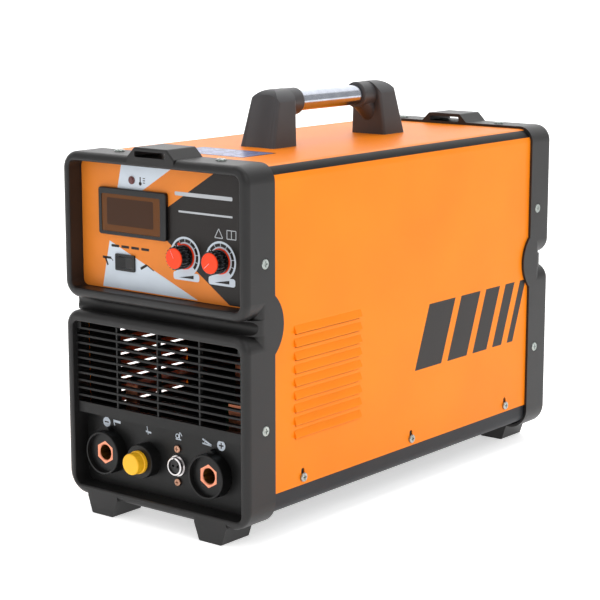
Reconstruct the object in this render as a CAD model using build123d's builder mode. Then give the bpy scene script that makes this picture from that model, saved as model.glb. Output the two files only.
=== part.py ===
from build123d import *
import math
import os

# TIG welding machine: a portable inverter power source with its torch gas valve.
# The origin is on the floor below the middle of the case. The front faces -Y,
# +X is to the viewer's right, +Z is up, and every length is in millimetres.

# ---- driving dimensions -------------------------------------------------
WIDTH = 205.0            # across the plastic end bezels
LENGTH = 461.0           # from the front rim to the rear rim
FITTING_REACH = 6.0      # the gas fittings stick out past both rims by this much
BEZEL_TOP = 313.5
BEZEL_BOTTOM = 14.8      # the feet fill the height below this
BEZEL_DEPTH = 35.5
BEZEL_WALL = 2.4
WAIST_DEPTH = 16.0       # how far the waist between the two rims is set back
UPPER_RIM_BOTTOM = 188.0
LOWER_RIM_TOP = 177.0
RIM_DEPTH = 24.0
RIM_FILLET = 5.5
GROOVE_R = 5.5           # the waist is a rounded groove between the rims

WINDOW_WIDTH = 189.0
UPPER_WINDOW = (196.7, 305.7)      # heights of the window edges
LOWER_WINDOW = (23.0, 167.5)
WINDOW_CORNER = 6.0
PANEL_DEPTH = 16.0       # the panels lie this far behind the rims
CONNECTOR_DEPTH = 16.7
SHEET = 1.5              # steel sheet of the panels and the tray

COVER_WIDTH = 200.0
COVER_TOP = 311.0
COVER_BOTTOM = 40.0
COVER_SHEET = 1.2
COVER_CORNER = 12.5
COVER_LENGTH = 409.0
TRAY_BOTTOM = 22.0

KNOB_HEIGHT = 233.2
KNOB_PLACES = {"gas_delay": 23.6, "current": 62.1}
KNOB_SWEEP_START = {"gas_delay": 30.0, "current": 130.0}   # pointer, degrees left of straight up

SOCKET_HEIGHT = 53.3
SOCKET_PLACES = {"negative": -66.0, "positive": 52.6}
SOCKET_BORE_R = 6.6      # takes a 13 mm cable plug
GAS_X = -22.2
GAS_THREAD_R = 8.0       # M16 gas union
HOSE_R = 4.0
HOSE_WALL = 1.4
TORCH_X = 12.1
TORCH_HEIGHT = 53.7
TORCH_THREAD_R = 8.0     # M16 control plug ring

HANDLE_Y = 2.8           # the handle sits a little behind the middle
HANDLE_AXIS = 348.4      # height of the tube's centre line
HANDLE_TUBE_R = 9.15
HANDLE_GAP = 88.8        # bare tube between the two posts

FAN_HEIGHT = 95.0
FAN_SIZE = 120.0
FAN_DEPTH = 25.0

RUN = 0.05               # running clearance of a shaft in its bore
GAP = 0.4                # gap between pieces that move past each other

# ---- places worked out from them ----------------------------------------
FRONT = -LENGTH / 2
REAR = LENGTH / 2
HALF_W = WIDTH / 2
PANEL_Y = FRONT + PANEL_DEPTH
CONNECTOR_Y = FRONT + CONNECTOR_DEPTH
REAR_PANEL_Y = REAR - PANEL_DEPTH
DECAL_Y = PANEL_Y - 0.4
BEZEL_INNER_W = WIDTH - 2 * BEZEL_WALL

MIN_END = (Align.CENTER, Align.CENTER, Align.MIN)
MAX_END = (Align.CENTER, Align.CENTER, Align.MAX)

os.makedirs("parts", exist_ok=True)


def at_y(y):
    """A sketch plane across the machine, looking from the front: X right, Z up."""
    return Plane.XZ.offset(-y)


def facing(origin, direction):
    """A plane at a point whose normal is the given direction."""
    return Plane(origin=origin, z_dir=direction)


def save(piece, name):
    """Label one finished piece and write its file."""
    piece.label = name
    export_step(piece, f"parts/{name}.step")


def rounded_outline(half_width, bottom, top, bottom_radius, top_radius):
    """A rectangle seen from the front, with its lower and upper corners rounded."""
    with Locations((0, (bottom + top) / 2)):
        Rectangle(2 * half_width, top - bottom)
    corners = vertices().group_by(Axis.Y)
    fillet(corners[0], bottom_radius)
    fillet(vertices().group_by(Axis.Y)[-1], top_radius)


# ---- end bezels ----------------------------------------------------------
# Both ends wear the same moulding: two raised rims above and below a waist,
# two feet, and a loop for the carrying strap on top.
RIM_CORNER = 15.0
FOOT_CORNER = 20.0
WAIST_CORNER = 11.0
FOOT_TOP = (44.0, 79.0)
FOOT_BASE = (49.5, 74.0)
FOOT_DEPTH = 34.5
LOOP_BASE = 26.0
LOOP_TOP = 18.0
LOOP_HEIGHT = 321.5
LOOP_SLOT = (34.0, 4.9)
SIDE_SCREW_Y = 23.2
SIDE_SCREW_HEIGHTS = (96.8, 234.0)
TOP_SCREW_X = 56.5
TOP_SCREW_Y = 23.7
SCREW_HEAD_R = 4.3
SCREW_SHANK_R = 1.9
SEAT_DEPTH = 1.2

with BuildPart() as upper_rim:
    with BuildSketch(at_y(FRONT)):
        rounded_outline(HALF_W, UPPER_RIM_BOTTOM, BEZEL_TOP, RIM_CORNER, RIM_CORNER)
    extrude(amount=-RIM_DEPTH)
    fillet(faces().sort_by(Axis.Y)[0].edges(), RIM_FILLET)

with BuildPart() as lower_rim:
    with BuildSketch(at_y(FRONT)):
        rounded_outline(HALF_W, BEZEL_BOTTOM, LOWER_RIM_TOP, FOOT_CORNER, RIM_CORNER - 1)
    extrude(amount=-RIM_DEPTH)
    fillet(faces().sort_by(Axis.Y)[0].edges(), RIM_FILLET)

# The waist: soft at its ends, with a rounded groove along its face.
with BuildPart() as waist:
    waist_y = FRONT + WAIST_DEPTH - GROOVE_R
    waist_middle = (UPPER_RIM_BOTTOM + LOWER_RIM_TOP) / 2
    with Locations((0, waist_y, waist_middle)):
        Box(WIDTH, FRONT + RIM_DEPTH - waist_y, UPPER_RIM_BOTTOM - LOWER_RIM_TOP + 2,
            align=(Align.CENTER, Align.MIN, Align.CENTER))
    fillet(edges().filter_by(Axis.Z).group_by(Axis.Y)[0], WAIST_CORNER)
    with Locations(Location((0, waist_y, waist_middle), (0, 90, 0))):
        Cylinder(GROOVE_R, WIDTH + 2, mode=Mode.SUBTRACT)

with BuildPart() as strap_loop:
    with BuildSketch(at_y(FRONT)):
        Polygon((-LOOP_BASE, BEZEL_TOP), (-LOOP_TOP, LOOP_HEIGHT), (LOOP_TOP, LOOP_HEIGHT),
                (LOOP_BASE, BEZEL_TOP), (LOOP_BASE, BEZEL_TOP - 6), (-LOOP_BASE, BEZEL_TOP - 6),
                align=None)
    extrude(amount=-BEZEL_DEPTH)
    fillet(edges().filter_by(Axis.Y).group_by(Axis.Z)[-1], 2.5)
    fillet(faces().sort_by(Axis.Y)[0].edges().group_by(Axis.Z)[-1], 1.5)

with BuildPart() as feet:
    with BuildSketch(at_y(FRONT)):
        Polygon((FOOT_BASE[0], 0), (FOOT_BASE[1], 0), (FOOT_TOP[1], BEZEL_BOTTOM),
                (FOOT_TOP[1], BEZEL_BOTTOM + 5), (FOOT_TOP[0], BEZEL_BOTTOM + 5),
                (FOOT_TOP[0], BEZEL_BOTTOM), align=None)
        mirror(about=Plane.YZ)
    extrude(amount=-FOOT_DEPTH)
    fillet(edges().filter_by(Axis.Y).group_by(Axis.Z)[0], 1.5)

with BuildPart() as front_bezel:
    with BuildSketch(at_y(FRONT + RIM_DEPTH)):
        rounded_outline(HALF_W, BEZEL_BOTTOM, BEZEL_TOP, FOOT_CORNER, RIM_CORNER)
    extrude(amount=-(BEZEL_DEPTH - RIM_DEPTH))
    # The rear edge swells out beside the waist, and hides the end of the cover.
    swell_from, swell_to, swell_reach = 158.5, 206.8, 11.1
    swell_y = FRONT + BEZEL_DEPTH
    with BuildSketch(Plane.YZ.offset(-HALF_W)):
        with BuildLine():
            ThreePointArc((swell_y, swell_from), (swell_y + swell_reach, (swell_from + swell_to) / 2),
                          (swell_y, swell_to))
            Polyline((swell_y, swell_to), (swell_y - 5, swell_to), (swell_y - 5, swell_from),
                     (swell_y, swell_from))
        make_face()
    extrude(amount=WIDTH)
    add(upper_rim.part)
    add(lower_rim.part)
    add(waist.part)
    add(strap_loop.part)
    add(feet.part)
    # Two windows for the panels.
    for low, high in (UPPER_WINDOW, LOWER_WINDOW):
        with BuildSketch(at_y(FRONT)):
            with Locations((0, (low + high) / 2)):
                RectangleRounded(WINDOW_WIDTH, high - low, WINDOW_CORNER)
        extrude(amount=-BEZEL_DEPTH, mode=Mode.SUBTRACT)
    window_edges = edges().filter_by(
        lambda e: abs(e.center().Y - FRONT) < 0.01 and abs(e.center().X) < HALF_W - 5)
    inner_edges = window_edges.filter_by(
        lambda e: UPPER_WINDOW[0] - 0.1 < e.center().Z < UPPER_WINDOW[1] + 0.1
        or LOWER_WINDOW[0] - 0.1 < e.center().Z < LOWER_WINDOW[1] + 0.1)
    fillet(inner_edges, 1.8)
    # The hollow back, which slides over the cover and the tray.
    with BuildSketch(at_y(FRONT + 20)):
        rounded_outline(BEZEL_INNER_W / 2, BEZEL_BOTTOM + BEZEL_WALL, BEZEL_TOP - BEZEL_WALL,
                        FOOT_CORNER - BEZEL_WALL, RIM_CORNER - BEZEL_WALL)
    extrude(amount=-BEZEL_DEPTH, mode=Mode.SUBTRACT)
    # The slot below the strap loop.
    with BuildSketch(at_y(FRONT)):
        with Locations((0, BEZEL_TOP + LOOP_SLOT[1] / 2)):
            RectangleRounded(LOOP_SLOT[0], LOOP_SLOT[1], 1.5)
    extrude(amount=-BEZEL_DEPTH, mode=Mode.SUBTRACT)
    # Seats of the side and top screws.
    side_seats = [facing((side * HALF_W, FRONT + SIDE_SCREW_Y, height), (side, 0, 0))
                  for side in (-1, 1) for height in SIDE_SCREW_HEIGHTS]
    top_seats = [facing((side * TOP_SCREW_X, FRONT + TOP_SCREW_Y, BEZEL_TOP), (0, 0, 1))
                 for side in (-1, 1)]
    with Locations(*side_seats, *top_seats):
        CounterBoreHole(SCREW_SHANK_R + 0.2, SCREW_HEAD_R + 0.4, SEAT_DEPTH, depth=6)

save(front_bezel.part, "front_bezel")
save(mirror(front_bezel.part, about=Plane.XZ), "rear_bezel")


# ---- screws ---------------------------------------------------------------
def cross_screws(places, head_r, head_height, shank_r, shank_length):
    """Pan head screws with a cross recess. Each place is the seat, its normal out of the head."""
    with BuildPart() as screw:
        Cylinder(head_r, head_height, align=MIN_END)
        fillet(edges().group_by(Axis.Z)[-1], head_height * 0.45)
        Cylinder(shank_r, shank_length, align=MAX_END)
        with Locations((0, 0, head_height)):
            Box(head_r * 1.1, head_r * 0.24, head_height * 1.1, mode=Mode.SUBTRACT)
            Box(head_r * 0.24, head_r * 1.1, head_height * 1.1, mode=Mode.SUBTRACT)
    with BuildPart() as screws:
        with Locations(*places):
            add(screw.part)
    return screws.part


side_places = [facing((side * (HALF_W - SEAT_DEPTH), end * (REAR - SIDE_SCREW_Y), height), (side, 0, 0))
               for side in (-1, 1) for end in (-1, 1) for height in SIDE_SCREW_HEIGHTS]
save(cross_screws(side_places, SCREW_HEAD_R, 1.6, SCREW_SHANK_R, 5), "bezel_side_screws")
top_places = [facing((side * TOP_SCREW_X, end * (REAR - TOP_SCREW_Y), BEZEL_TOP - SEAT_DEPTH), (0, 0, 1))
              for side in (-1, 1) for end in (-1, 1)]
save(cross_screws(top_places, SCREW_HEAD_R, 3.0, SCREW_SHANK_R, 5), "bezel_top_screws")

# ---- sheet metal case --------------------------------------------------------
LOUVRE_COUNT = 9
LOUVRE_PITCH = 11.06
LOUVRE_LOWEST = 81.0
LOUVRE_LENGTH = 91.0
LOUVRE_Y = -122.0
LOUVRE_REACH = 2.4
COVER_SCREW_YS = (-156.0, 1.0, 158.3)
COVER_SCREW_HEIGHT = 46.5
POST_BASE_WIDTH = 39.0
POST_FOOT = (64.8, 97.8)     # inner and outer foot edge, from the middle of the handle
POST_SCREW_OFFSET = (POST_FOOT[0] + POST_FOOT[1]) / 2
louvre_heights = [LOUVRE_LOWEST + LOUVRE_PITCH * i for i in range(LOUVRE_COUNT)]
post_screw_points = [(side * 9.0, HANDLE_Y + end * POST_SCREW_OFFSET)
                     for side in (-1, 1) for end in (-1, 1)]

with BuildPart() as cover:
    with BuildSketch(at_y(-COVER_LENGTH / 2)):
        with Locations((0, (COVER_TOP + COVER_BOTTOM) / 2)):
            Rectangle(COVER_WIDTH, COVER_TOP - COVER_BOTTOM)
        fillet(vertices().group_by(Axis.Y)[-1], COVER_CORNER)
    extrude(amount=-COVER_LENGTH)
    with BuildSketch(at_y(-COVER_LENGTH / 2)):
        with Locations((0, (COVER_TOP - COVER_SHEET + COVER_BOTTOM - 10) / 2)):
            Rectangle(COVER_WIDTH - 2 * COVER_SHEET, COVER_TOP - COVER_SHEET - COVER_BOTTOM + 10)
        fillet(vertices().group_by(Axis.Y)[-1], COVER_CORNER - COVER_SHEET)
    extrude(amount=-COVER_LENGTH, mode=Mode.SUBTRACT)
    # Louvres: a slit, with the sheet above it pushed out as a hood that is open below.
    for side in (-1, 1):
        wall = side * COVER_WIDTH / 2
        lip = side * LOUVRE_REACH
        inner_lip = side * (LOUVRE_REACH - 1.0)
        for height in louvre_heights:
            with BuildSketch(at_y(LOUVRE_Y - LOUVRE_LENGTH / 2)):
                with Locations((wall, height)):
                    Polygon((-side * 0.5, 1.2), (lip, 1.2), (lip, 2.0), (0, 8.0), (-side * 0.5, 8.0), align=None)
            extrude(amount=-LOUVRE_LENGTH)
            with BuildSketch(at_y(LOUVRE_Y - LOUVRE_LENGTH / 2 + 1.2)):
                with Locations((wall, height)):
                    Polygon((-side * 2.0, 0), (side * 0.02, 0), (side * 0.02, 1.0), (inner_lip, 1.0),
                            (inner_lip, 2.2), (-side * 0.2, 6.4), (-side * 2.0, 6.4), align=None)
            extrude(amount=-(LOUVRE_LENGTH - 2.4), mode=Mode.SUBTRACT)
    # Tall slots for the lower screws let the cover drop on from above.
    for side in (-1, 1):
        slots = [Plane(origin=(side * COVER_WIDTH / 2, y, COVER_SCREW_HEIGHT + 2.5), x_dir=(0, 1, 0),
                       z_dir=(side, 0, 0)) for y in COVER_SCREW_YS]
        with BuildSketch(*slots):
            SlotCenterToCenter(6.5, 4.4, rotation=90)
        extrude(amount=-4, mode=Mode.SUBTRACT)
    with Locations(*[(x, y, COVER_TOP) for x, y in post_screw_points]):
        Hole(2.6, depth=4)

save(cover.part, "cover")

cover_places = [facing((side * COVER_WIDTH / 2, y, COVER_SCREW_HEIGHT), (side, 0, 0))
                for side in (-1, 1) for y in COVER_SCREW_YS]
save(cross_screws(cover_places, 3.9, 2.2, 1.9, 6), "cover_screws")

TRAY_WIDTH = COVER_WIDTH - 2 * COVER_SHEET - 0.4
TRAY_LENGTH = LENGTH - 44.0
TRAY_WALL_TOP = 66.0
TRAY_CORNER = 8.0
with BuildPart() as base_tray:
    with BuildSketch(at_y(-TRAY_LENGTH / 2)):
        with Locations((0, (TRAY_BOTTOM + TRAY_WALL_TOP) / 2)):
            Rectangle(TRAY_WIDTH, TRAY_WALL_TOP - TRAY_BOTTOM)
        fillet(vertices().group_by(Axis.Y)[0], TRAY_CORNER)
    extrude(amount=-TRAY_LENGTH)
    with BuildSketch(at_y(-TRAY_LENGTH / 2)):
        with Locations((0, (TRAY_BOTTOM + SHEET + TRAY_WALL_TOP + 10) / 2)):
            Rectangle(TRAY_WIDTH - 2 * SHEET, TRAY_WALL_TOP + 10 - TRAY_BOTTOM - SHEET)
        fillet(vertices().group_by(Axis.Y)[0], TRAY_CORNER - SHEET)
    extrude(amount=-TRAY_LENGTH, mode=Mode.SUBTRACT)
    # Air slots through the floor, below the power board.
    with Locations((0, 60, TRAY_BOTTOM)):
        with GridLocations(0, 12, 1, 9):
            Box(90, 4, 6, mode=Mode.SUBTRACT)
    tapped = [facing((side * TRAY_WIDTH / 2, y, COVER_SCREW_HEIGHT), (side, 0, 0))
              for side in (-1, 1) for y in COVER_SCREW_YS]
    with Locations(*tapped):
        Hole(2.0, depth=4)

save(base_tray.part, "base_tray")

# ---- carrying handle -----------------------------------------------------------
POST_TOP = 360.6
POST_LEAN = 13.0         # the outer face leans in by this much at the top
POST_INNER_LEAN = 4.0
POST_CORNER = 3.0
POST_TOP_WIDTH = 30.0
POST_ARCH_FROM = (17.2, 340.0)   # half width and height where the arched top begins
POST_SHOULDER_R = 14.0
GRIP_R = 12.0            # the collar around the tube
GRIP_BURIED = 32.0
WEB_R = 9.0              # the rounded web below the collar
WEB_SLOPE = (-0.79, -0.61)
SCOOP_R = 60.0           # the shallow hollow down the outer face
SCOOP_DEPTH = 1.4
TUBE_GRIP = 18.0         # length of tube held inside each post
TUBE_WALL = 1.5
outer = HANDLE_Y - POST_FOOT[1]
inner = HANDLE_Y - POST_FOOT[0]
grip_end = HANDLE_Y - HANDLE_GAP / 2

with BuildPart() as grip_collar:
    with Locations(facing((0, grip_end - GRIP_BURIED, HANDLE_AXIS), (0, 1, 0))):
        Cylinder(GRIP_R, GRIP_BURIED, align=MIN_END)
    fillet(edges().filter_by(GeomType.CIRCLE).group_by(Axis.Y)[-1], 1.5)

with BuildPart() as handle_post_front:
    # The leg tapers upward, and leans in more on its outer face.
    post_height = POST_TOP - COVER_TOP
    over = 1 + 2 / post_height
    with BuildSketch(Plane.XY.offset(COVER_TOP)):
        with Locations((0, (outer + inner) / 2)):
            RectangleRounded(POST_BASE_WIDTH, inner - outer, POST_CORNER)
    top_outer = outer + POST_LEAN * over
    top_inner = inner + POST_INNER_LEAN * over
    with BuildSketch(Plane.XY.offset(POST_TOP + 2)):
        with Locations((0, (top_outer + top_inner) / 2)):
            RectangleRounded(POST_TOP_WIDTH, top_inner - top_outer, POST_CORNER)
    loft()
    # Round the shoulder, seen from the side.
    with BuildSketch(Plane.YZ):
        Polygon((outer - 0.3, COVER_TOP - 1), (outer + POST_LEAN - 0.3, POST_TOP),
                (inner + 12, POST_TOP), (inner + 12, COVER_TOP - 1), align=None)
        fillet(vertices().group_by(Axis.Y)[-1].sort_by(Axis.X)[0], POST_SHOULDER_R)
    extrude(amount=POST_BASE_WIDTH, both=True, mode=Mode.INTERSECT)
    # Arch the top, seen from the front.
    with BuildSketch(at_y(outer - 5)):
        with BuildLine():
            arch_w, arch_z = POST_ARCH_FROM
            Polyline((-arch_w, arch_z), (-arch_w - 6, COVER_TOP - 1), (arch_w + 6, COVER_TOP - 1), (arch_w, arch_z))
            ThreePointArc((arch_w, arch_z), (0, POST_TOP), (-arch_w, arch_z))
        make_face()
    extrude(amount=-60, mode=Mode.INTERSECT)
    add(grip_collar.part)
    # The web starts at the lower edge of the collar and runs down into the leg.
    web_start = (grip_end - 2.0 + WEB_SLOPE[1] * WEB_R, HANDLE_AXIS - GRIP_R + 0.8 - WEB_SLOPE[0] * WEB_R)
    with Locations(facing((0, *web_start), (0, *WEB_SLOPE))):
        Cylinder(WEB_R, 26, align=MIN_END)
    # A shallow hollow down the outer face.
    lean = math.atan2(POST_LEAN, post_height)
    scoop_out = SCOOP_R - SCOOP_DEPTH
    scoop_foot = (outer - scoop_out * math.cos(lean) - 20 * math.sin(lean),
                  COVER_TOP + scoop_out * math.sin(lean) - 20 * math.cos(lean))
    with Locations(facing((0, *scoop_foot), (0, math.sin(lean), math.cos(lean)))):
        Cylinder(SCOOP_R, 100, align=MIN_END, mode=Mode.SUBTRACT)
    with BuildSketch(at_y(grip_end)):
        with Locations((0, HANDLE_AXIS)):
            Circle(HANDLE_TUBE_R + 0.05)
    extrude(amount=TUBE_GRIP + 0.5, mode=Mode.SUBTRACT)
    with Locations(*[(side * 9.0, HANDLE_Y - POST_SCREW_OFFSET, COVER_TOP) for side in (-1, 1)]):
        Cylinder(2.0, 16, align=MIN_END, mode=Mode.SUBTRACT)

save(handle_post_front.part, "handle_post_front")
save(mirror(handle_post_front.part, about=at_y(HANDLE_Y)), "handle_post_rear")

with BuildPart() as handle_tube:
    with BuildSketch(at_y(HANDLE_Y - HANDLE_GAP / 2 - TUBE_GRIP)):
        with Locations((0, HANDLE_AXIS)):
            Circle(HANDLE_TUBE_R)
            Circle(HANDLE_TUBE_R - TUBE_WALL, mode=Mode.SUBTRACT)
    extrude(amount=-(HANDLE_GAP + 2 * TUBE_GRIP))
save(handle_tube.part, "handle_tube")

under_cover = [facing((x, y, COVER_TOP - COVER_SHEET), (0, 0, -1)) for x, y in post_screw_points]
save(cross_screws(under_cover, 4.2, 2.6, 2.0, 14), "handle_screws")

# ---- control panel ----------------------------------------------------------------
METER = (77.0, 40.0)
METER_AT = (-33.1, 263.9)
METER_PROUD = 3.7
METER_GLASS = (67.0, 32.0)
METER_GLASS_AT = (-34.4, 262.8)
METER_SLEEVE = (71.0, 35.0)
LAMP_AT = (-35.0, 291.5)
LAMP_R = 3.4
ROCKER_AT = (-43.6, 220.9)
ROCKER_FRAME = (22.3, 14.2)
ROCKER_SLEEVE = (20.4, 12.4)
ROCKER_HOLE = (19.0, 10.2)
BUSHING_R = 3.7
PANEL_SIZE = (WINDOW_WIDTH - 0.2, UPPER_WINDOW[1] - UPPER_WINDOW[0] - 0.2)
PANEL_MIDDLE = (UPPER_WINDOW[0] + UPPER_WINDOW[1]) / 2


def control_openings():
    """The holes that the control plate and its printed sheet share."""
    with Locations(METER_GLASS_AT):
        Rectangle(METER_SLEEVE[0] + 0.4, METER_SLEEVE[1] + 0.4, mode=Mode.SUBTRACT)
    with Locations(LAMP_AT):
        Circle(LAMP_R - 0.6, mode=Mode.SUBTRACT)
    with Locations(ROCKER_AT):
        Rectangle(ROCKER_SLEEVE[0] + 0.2, ROCKER_SLEEVE[1] + 0.2, mode=Mode.SUBTRACT)
    with Locations(*[(x, KNOB_HEIGHT) for x in KNOB_PLACES.values()]):
        Circle(BUSHING_R + 0.1, mode=Mode.SUBTRACT)


with BuildPart() as control_plate:
    with BuildSketch(at_y(PANEL_Y)):
        with Locations((0, PANEL_MIDDLE)):
            RectangleRounded(PANEL_SIZE[0], PANEL_SIZE[1], WINDOW_CORNER)
        control_openings()
    extrude(amount=-SHEET)
save(control_plate.part, "control_plate")

with BuildPart() as control_decal:
    with BuildSketch(at_y(DECAL_Y)):
        with Locations((0, PANEL_MIDDLE)):
            RectangleRounded(PANEL_SIZE[0] - 0.6, PANEL_SIZE[1] - 0.6, WINDOW_CORNER - 0.5)
        control_openings()
    extrude(amount=-(PANEL_Y - DECAL_Y))
save(control_decal.part, "control_decal")

with BuildPart() as display_frame:
    frame_y = PANEL_Y - METER_PROUD
    with BuildSketch(at_y(frame_y)):
        with Locations(METER_AT):
            RectangleRounded(METER[0], METER[1], 2.5)
    extrude(amount=-(METER_PROUD - 0.4))
    fillet(faces().sort_by(Axis.Y)[0].edges(), 0.8)
    with BuildSketch(at_y(DECAL_Y)):
        with Locations(METER_GLASS_AT):
            Rectangle(METER_SLEEVE[0], METER_SLEEVE[1])
    extrude(amount=-12)
    with BuildSketch(at_y(frame_y)):
        with Locations(METER_GLASS_AT):
            RectangleRounded(METER_GLASS[0], METER_GLASS[1], 1.5)
    extrude(amount=-20, mode=Mode.SUBTRACT)
save(display_frame.part, "display_frame")

with BuildPart() as display_window:
    with BuildSketch(at_y(frame_y + 0.5)):
        with Locations(METER_GLASS_AT):
            RectangleRounded(METER_GLASS[0] - 0.1, METER_GLASS[1] - 0.1, 1.4)
    extrude(amount=-2)
save(display_window.part, "display_window")

with BuildPart() as overheat_lamp:
    with Locations(facing((LAMP_AT[0], DECAL_Y, LAMP_AT[1]), (0, -1, 0))):
        Cylinder(LAMP_R, 0.8, align=MIN_END)
        Cylinder(LAMP_R - 1.0, 1.4, align=MIN_END)
        Cylinder(LAMP_R - 0.8, 8, align=MAX_END)
    fillet(edges().group_by(Axis.Y)[0], 0.5)
save(overheat_lamp.part, "overheat_lamp")

# ---- mode rocker -----------------------------------------------------------------------
ROCKER_PROUD = 2.0
ROCKER_TILT = 9.0        # degrees each side of the middle
ROCKER_PIVOT_DEPTH = 4.0
ROCKER_HALF = 8.6
ROCKER_PIN_R = 1.2
pivot_y = PANEL_Y - ROCKER_PROUD + ROCKER_PIVOT_DEPTH

with BuildPart() as mode_switch_body:
    with BuildSketch(at_y(PANEL_Y - ROCKER_PROUD)):
        with Locations(ROCKER_AT):
            RectangleRounded(ROCKER_FRAME[0], ROCKER_FRAME[1], 1.2)
    extrude(amount=-(ROCKER_PROUD - 0.4))
    with BuildSketch(at_y(DECAL_Y)):
        with Locations(ROCKER_AT):
            Rectangle(ROCKER_SLEEVE[0], ROCKER_SLEEVE[1])
    extrude(amount=-14)
    with BuildSketch(at_y(PANEL_Y - ROCKER_PROUD)):
        with Locations(ROCKER_AT):
            Rectangle(ROCKER_HOLE[0], ROCKER_HOLE[1])
    extrude(amount=-13, mode=Mode.SUBTRACT)
    with Locations((ROCKER_AT[0], pivot_y, ROCKER_AT[1])):
        Cylinder(ROCKER_PIN_R, ROCKER_HOLE[1] + 0.8)
    with Locations(*[(ROCKER_AT[0] + dx, DECAL_Y + 15.5, ROCKER_AT[1]) for dx in (-6, 6)]):
        Box(0.8, 3, 5)
save(mode_switch_body.part, "mode_switch_body")

with BuildPart() as mode_rocker:
    # Seen from above: two shallow faces that meet over the pivot, and a round underside.
    # It rests tilted to the left, so the section is drawn level and turned about the pivot.
    rocker_plane = Plane(origin=(ROCKER_AT[0], pivot_y, ROCKER_AT[1]), z_dir=(0, 0, 1)).rotated(
        (0, 0, ROCKER_TILT))
    with BuildSketch(rocker_plane):
        with BuildLine():
            Polyline((-ROCKER_HALF, 1.0), (-ROCKER_HALF, -5.4), (0, -3.6), (ROCKER_HALF, -5.4),
                     (ROCKER_HALF, 1.0))
            Line((ROCKER_HALF, 1.0), (4.0, 3.2))
            Line((4.0, 3.2), (-4.0, 3.2))
            Line((-4.0, 3.2), (-ROCKER_HALF, 1.0))
        make_face()
        Circle(ROCKER_PIN_R + RUN, mode=Mode.SUBTRACT)
    extrude(amount=(ROCKER_HOLE[1] - 0.8) / 2, both=True)
save(mode_rocker.part, "mode_rocker")

# ---- potentiometers, shafts and knobs --------------------------------------------------
SHAFT_R = 3.0
POT_R = 8.5
POT_Y = PANEL_Y + SHEET
KNOB_R = 9.7
KNOB_BASE_R = 9.9
KNOB_FACE_Y = FRONT + 1.2
KNOB_RIBS = 18
CAP_R = 8.5
SKIRT_R = 10.6
SKIRT_Y = DECAL_Y - 1.5
SKIRT_THICK = 0.9

with BuildPart() as potentiometers:
    for x in KNOB_PLACES.values():
        with Locations(facing((x, POT_Y, KNOB_HEIGHT), (0, 1, 0))):
            Cylinder(POT_R, 11, align=MIN_END)
        with Locations(facing((x, POT_Y, KNOB_HEIGHT), (0, -1, 0))):
            Cylinder(BUSHING_R, SHEET + 0.6, align=MIN_END)
        with Locations(facing((x, POT_Y - SHEET - 0.6, KNOB_HEIGHT), (0, -1, 0))):
            Hole(SHAFT_R + RUN, depth=10)
        with Locations((x, POT_Y + 6, KNOB_HEIGHT - POT_R - 2)):
            Box(11, 1.6, 8)
save(potentiometers.part, "potentiometers")

for knob, x in KNOB_PLACES.items():
    axis_point = (x, 0, KNOB_HEIGHT)
    with BuildPart() as shaft:
        with Locations(facing((x, POT_Y + 5, KNOB_HEIGHT), (0, -1, 0))):
            Cylinder(SHAFT_R, POT_Y + 5 - (KNOB_FACE_Y + 5), align=MIN_END)
    save(shaft.part, f"{knob}_shaft")

    with BuildPart() as knob_body:
        body_top = KNOB_FACE_Y + 1.2
        body_base = SKIRT_Y - 0.05
        with BuildSketch(at_y(body_top)):
            with Locations((x, KNOB_HEIGHT)):
                Circle(KNOB_R - 0.9)
                with PolarLocations(KNOB_R - 0.9, KNOB_RIBS):
                    Circle(0.9)
        extrude(amount=-(body_base - body_top - 3.0))
        with BuildSketch(at_y(body_base - 3.0)):
            with Locations((x, KNOB_HEIGHT)):
                Circle(KNOB_BASE_R)
        extrude(amount=-3.0)
        with Locations(facing((x, body_base, KNOB_HEIGHT), (0, 1, 0))):
            Hole(SHAFT_R, depth=body_base - KNOB_FACE_Y - 5)
    save(knob_body.part, f"{knob}_knob")

    with BuildPart() as knob_cap:
        with Locations(facing((x, KNOB_FACE_Y + 1.2, KNOB_HEIGHT), (0, -1, 0))):
            Cylinder(CAP_R, 1.2, align=MIN_END)
        fillet(edges().group_by(Axis.Y)[0], 0.8)
        # A fine line on the face shows where the knob points.
        line_angle = KNOB_SWEEP_START[knob]
        face = facing((x, KNOB_FACE_Y, KNOB_HEIGHT), (0, -1, 0))
        with BuildSketch(at_y(KNOB_FACE_Y)):
            with Locations((x, KNOB_HEIGHT)):
                with PolarLocations(CAP_R * 0.42, 1, start_angle=90 + line_angle):
                    Rectangle(CAP_R * 0.84, 0.5)
        extrude(amount=-0.35, mode=Mode.SUBTRACT)
    save(knob_cap.part, f"{knob}_cap")

    with BuildPart() as pointer:
        with BuildSketch(at_y(SKIRT_Y)):
            with Locations((x, KNOB_HEIGHT)):
                Circle(SKIRT_R)
                with PolarLocations(SKIRT_R + 0.4, 1, start_angle=90 + line_angle):
                    RectangleRounded(2.8, 2.4, 0.8)
                Circle(SHAFT_R + 0.1, mode=Mode.SUBTRACT)
        extrude(amount=-SKIRT_THICK)
    save(pointer.part, f"{knob}_pointer")

# ---- control electronics -------------------------------------------------------------------
with BuildPart() as control_board:
    board_y = PANEL_Y + 18
    with BuildSketch(at_y(board_y)):
        with Locations((0, PANEL_MIDDLE)):
            RectangleRounded(164, 94, 3)
    extrude(amount=-1.6)
    with Locations((METER_GLASS_AT[0], board_y - 5.5, METER_GLASS_AT[1])):
        Box(56, 11, 24)
    for dx in (-18, 0, 18):
        with Locations((METER_GLASS_AT[0] + dx, board_y - 11, METER_GLASS_AT[1])):
            Box(12.5, 3, 19)
    with Locations((40, board_y + 4.0, 272)):
        Box(30, 5, 22)
    with Locations((-55, board_y + 5.0, 222)):
        Box(16, 7, 12)
save(control_board.part, "control_board")

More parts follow.
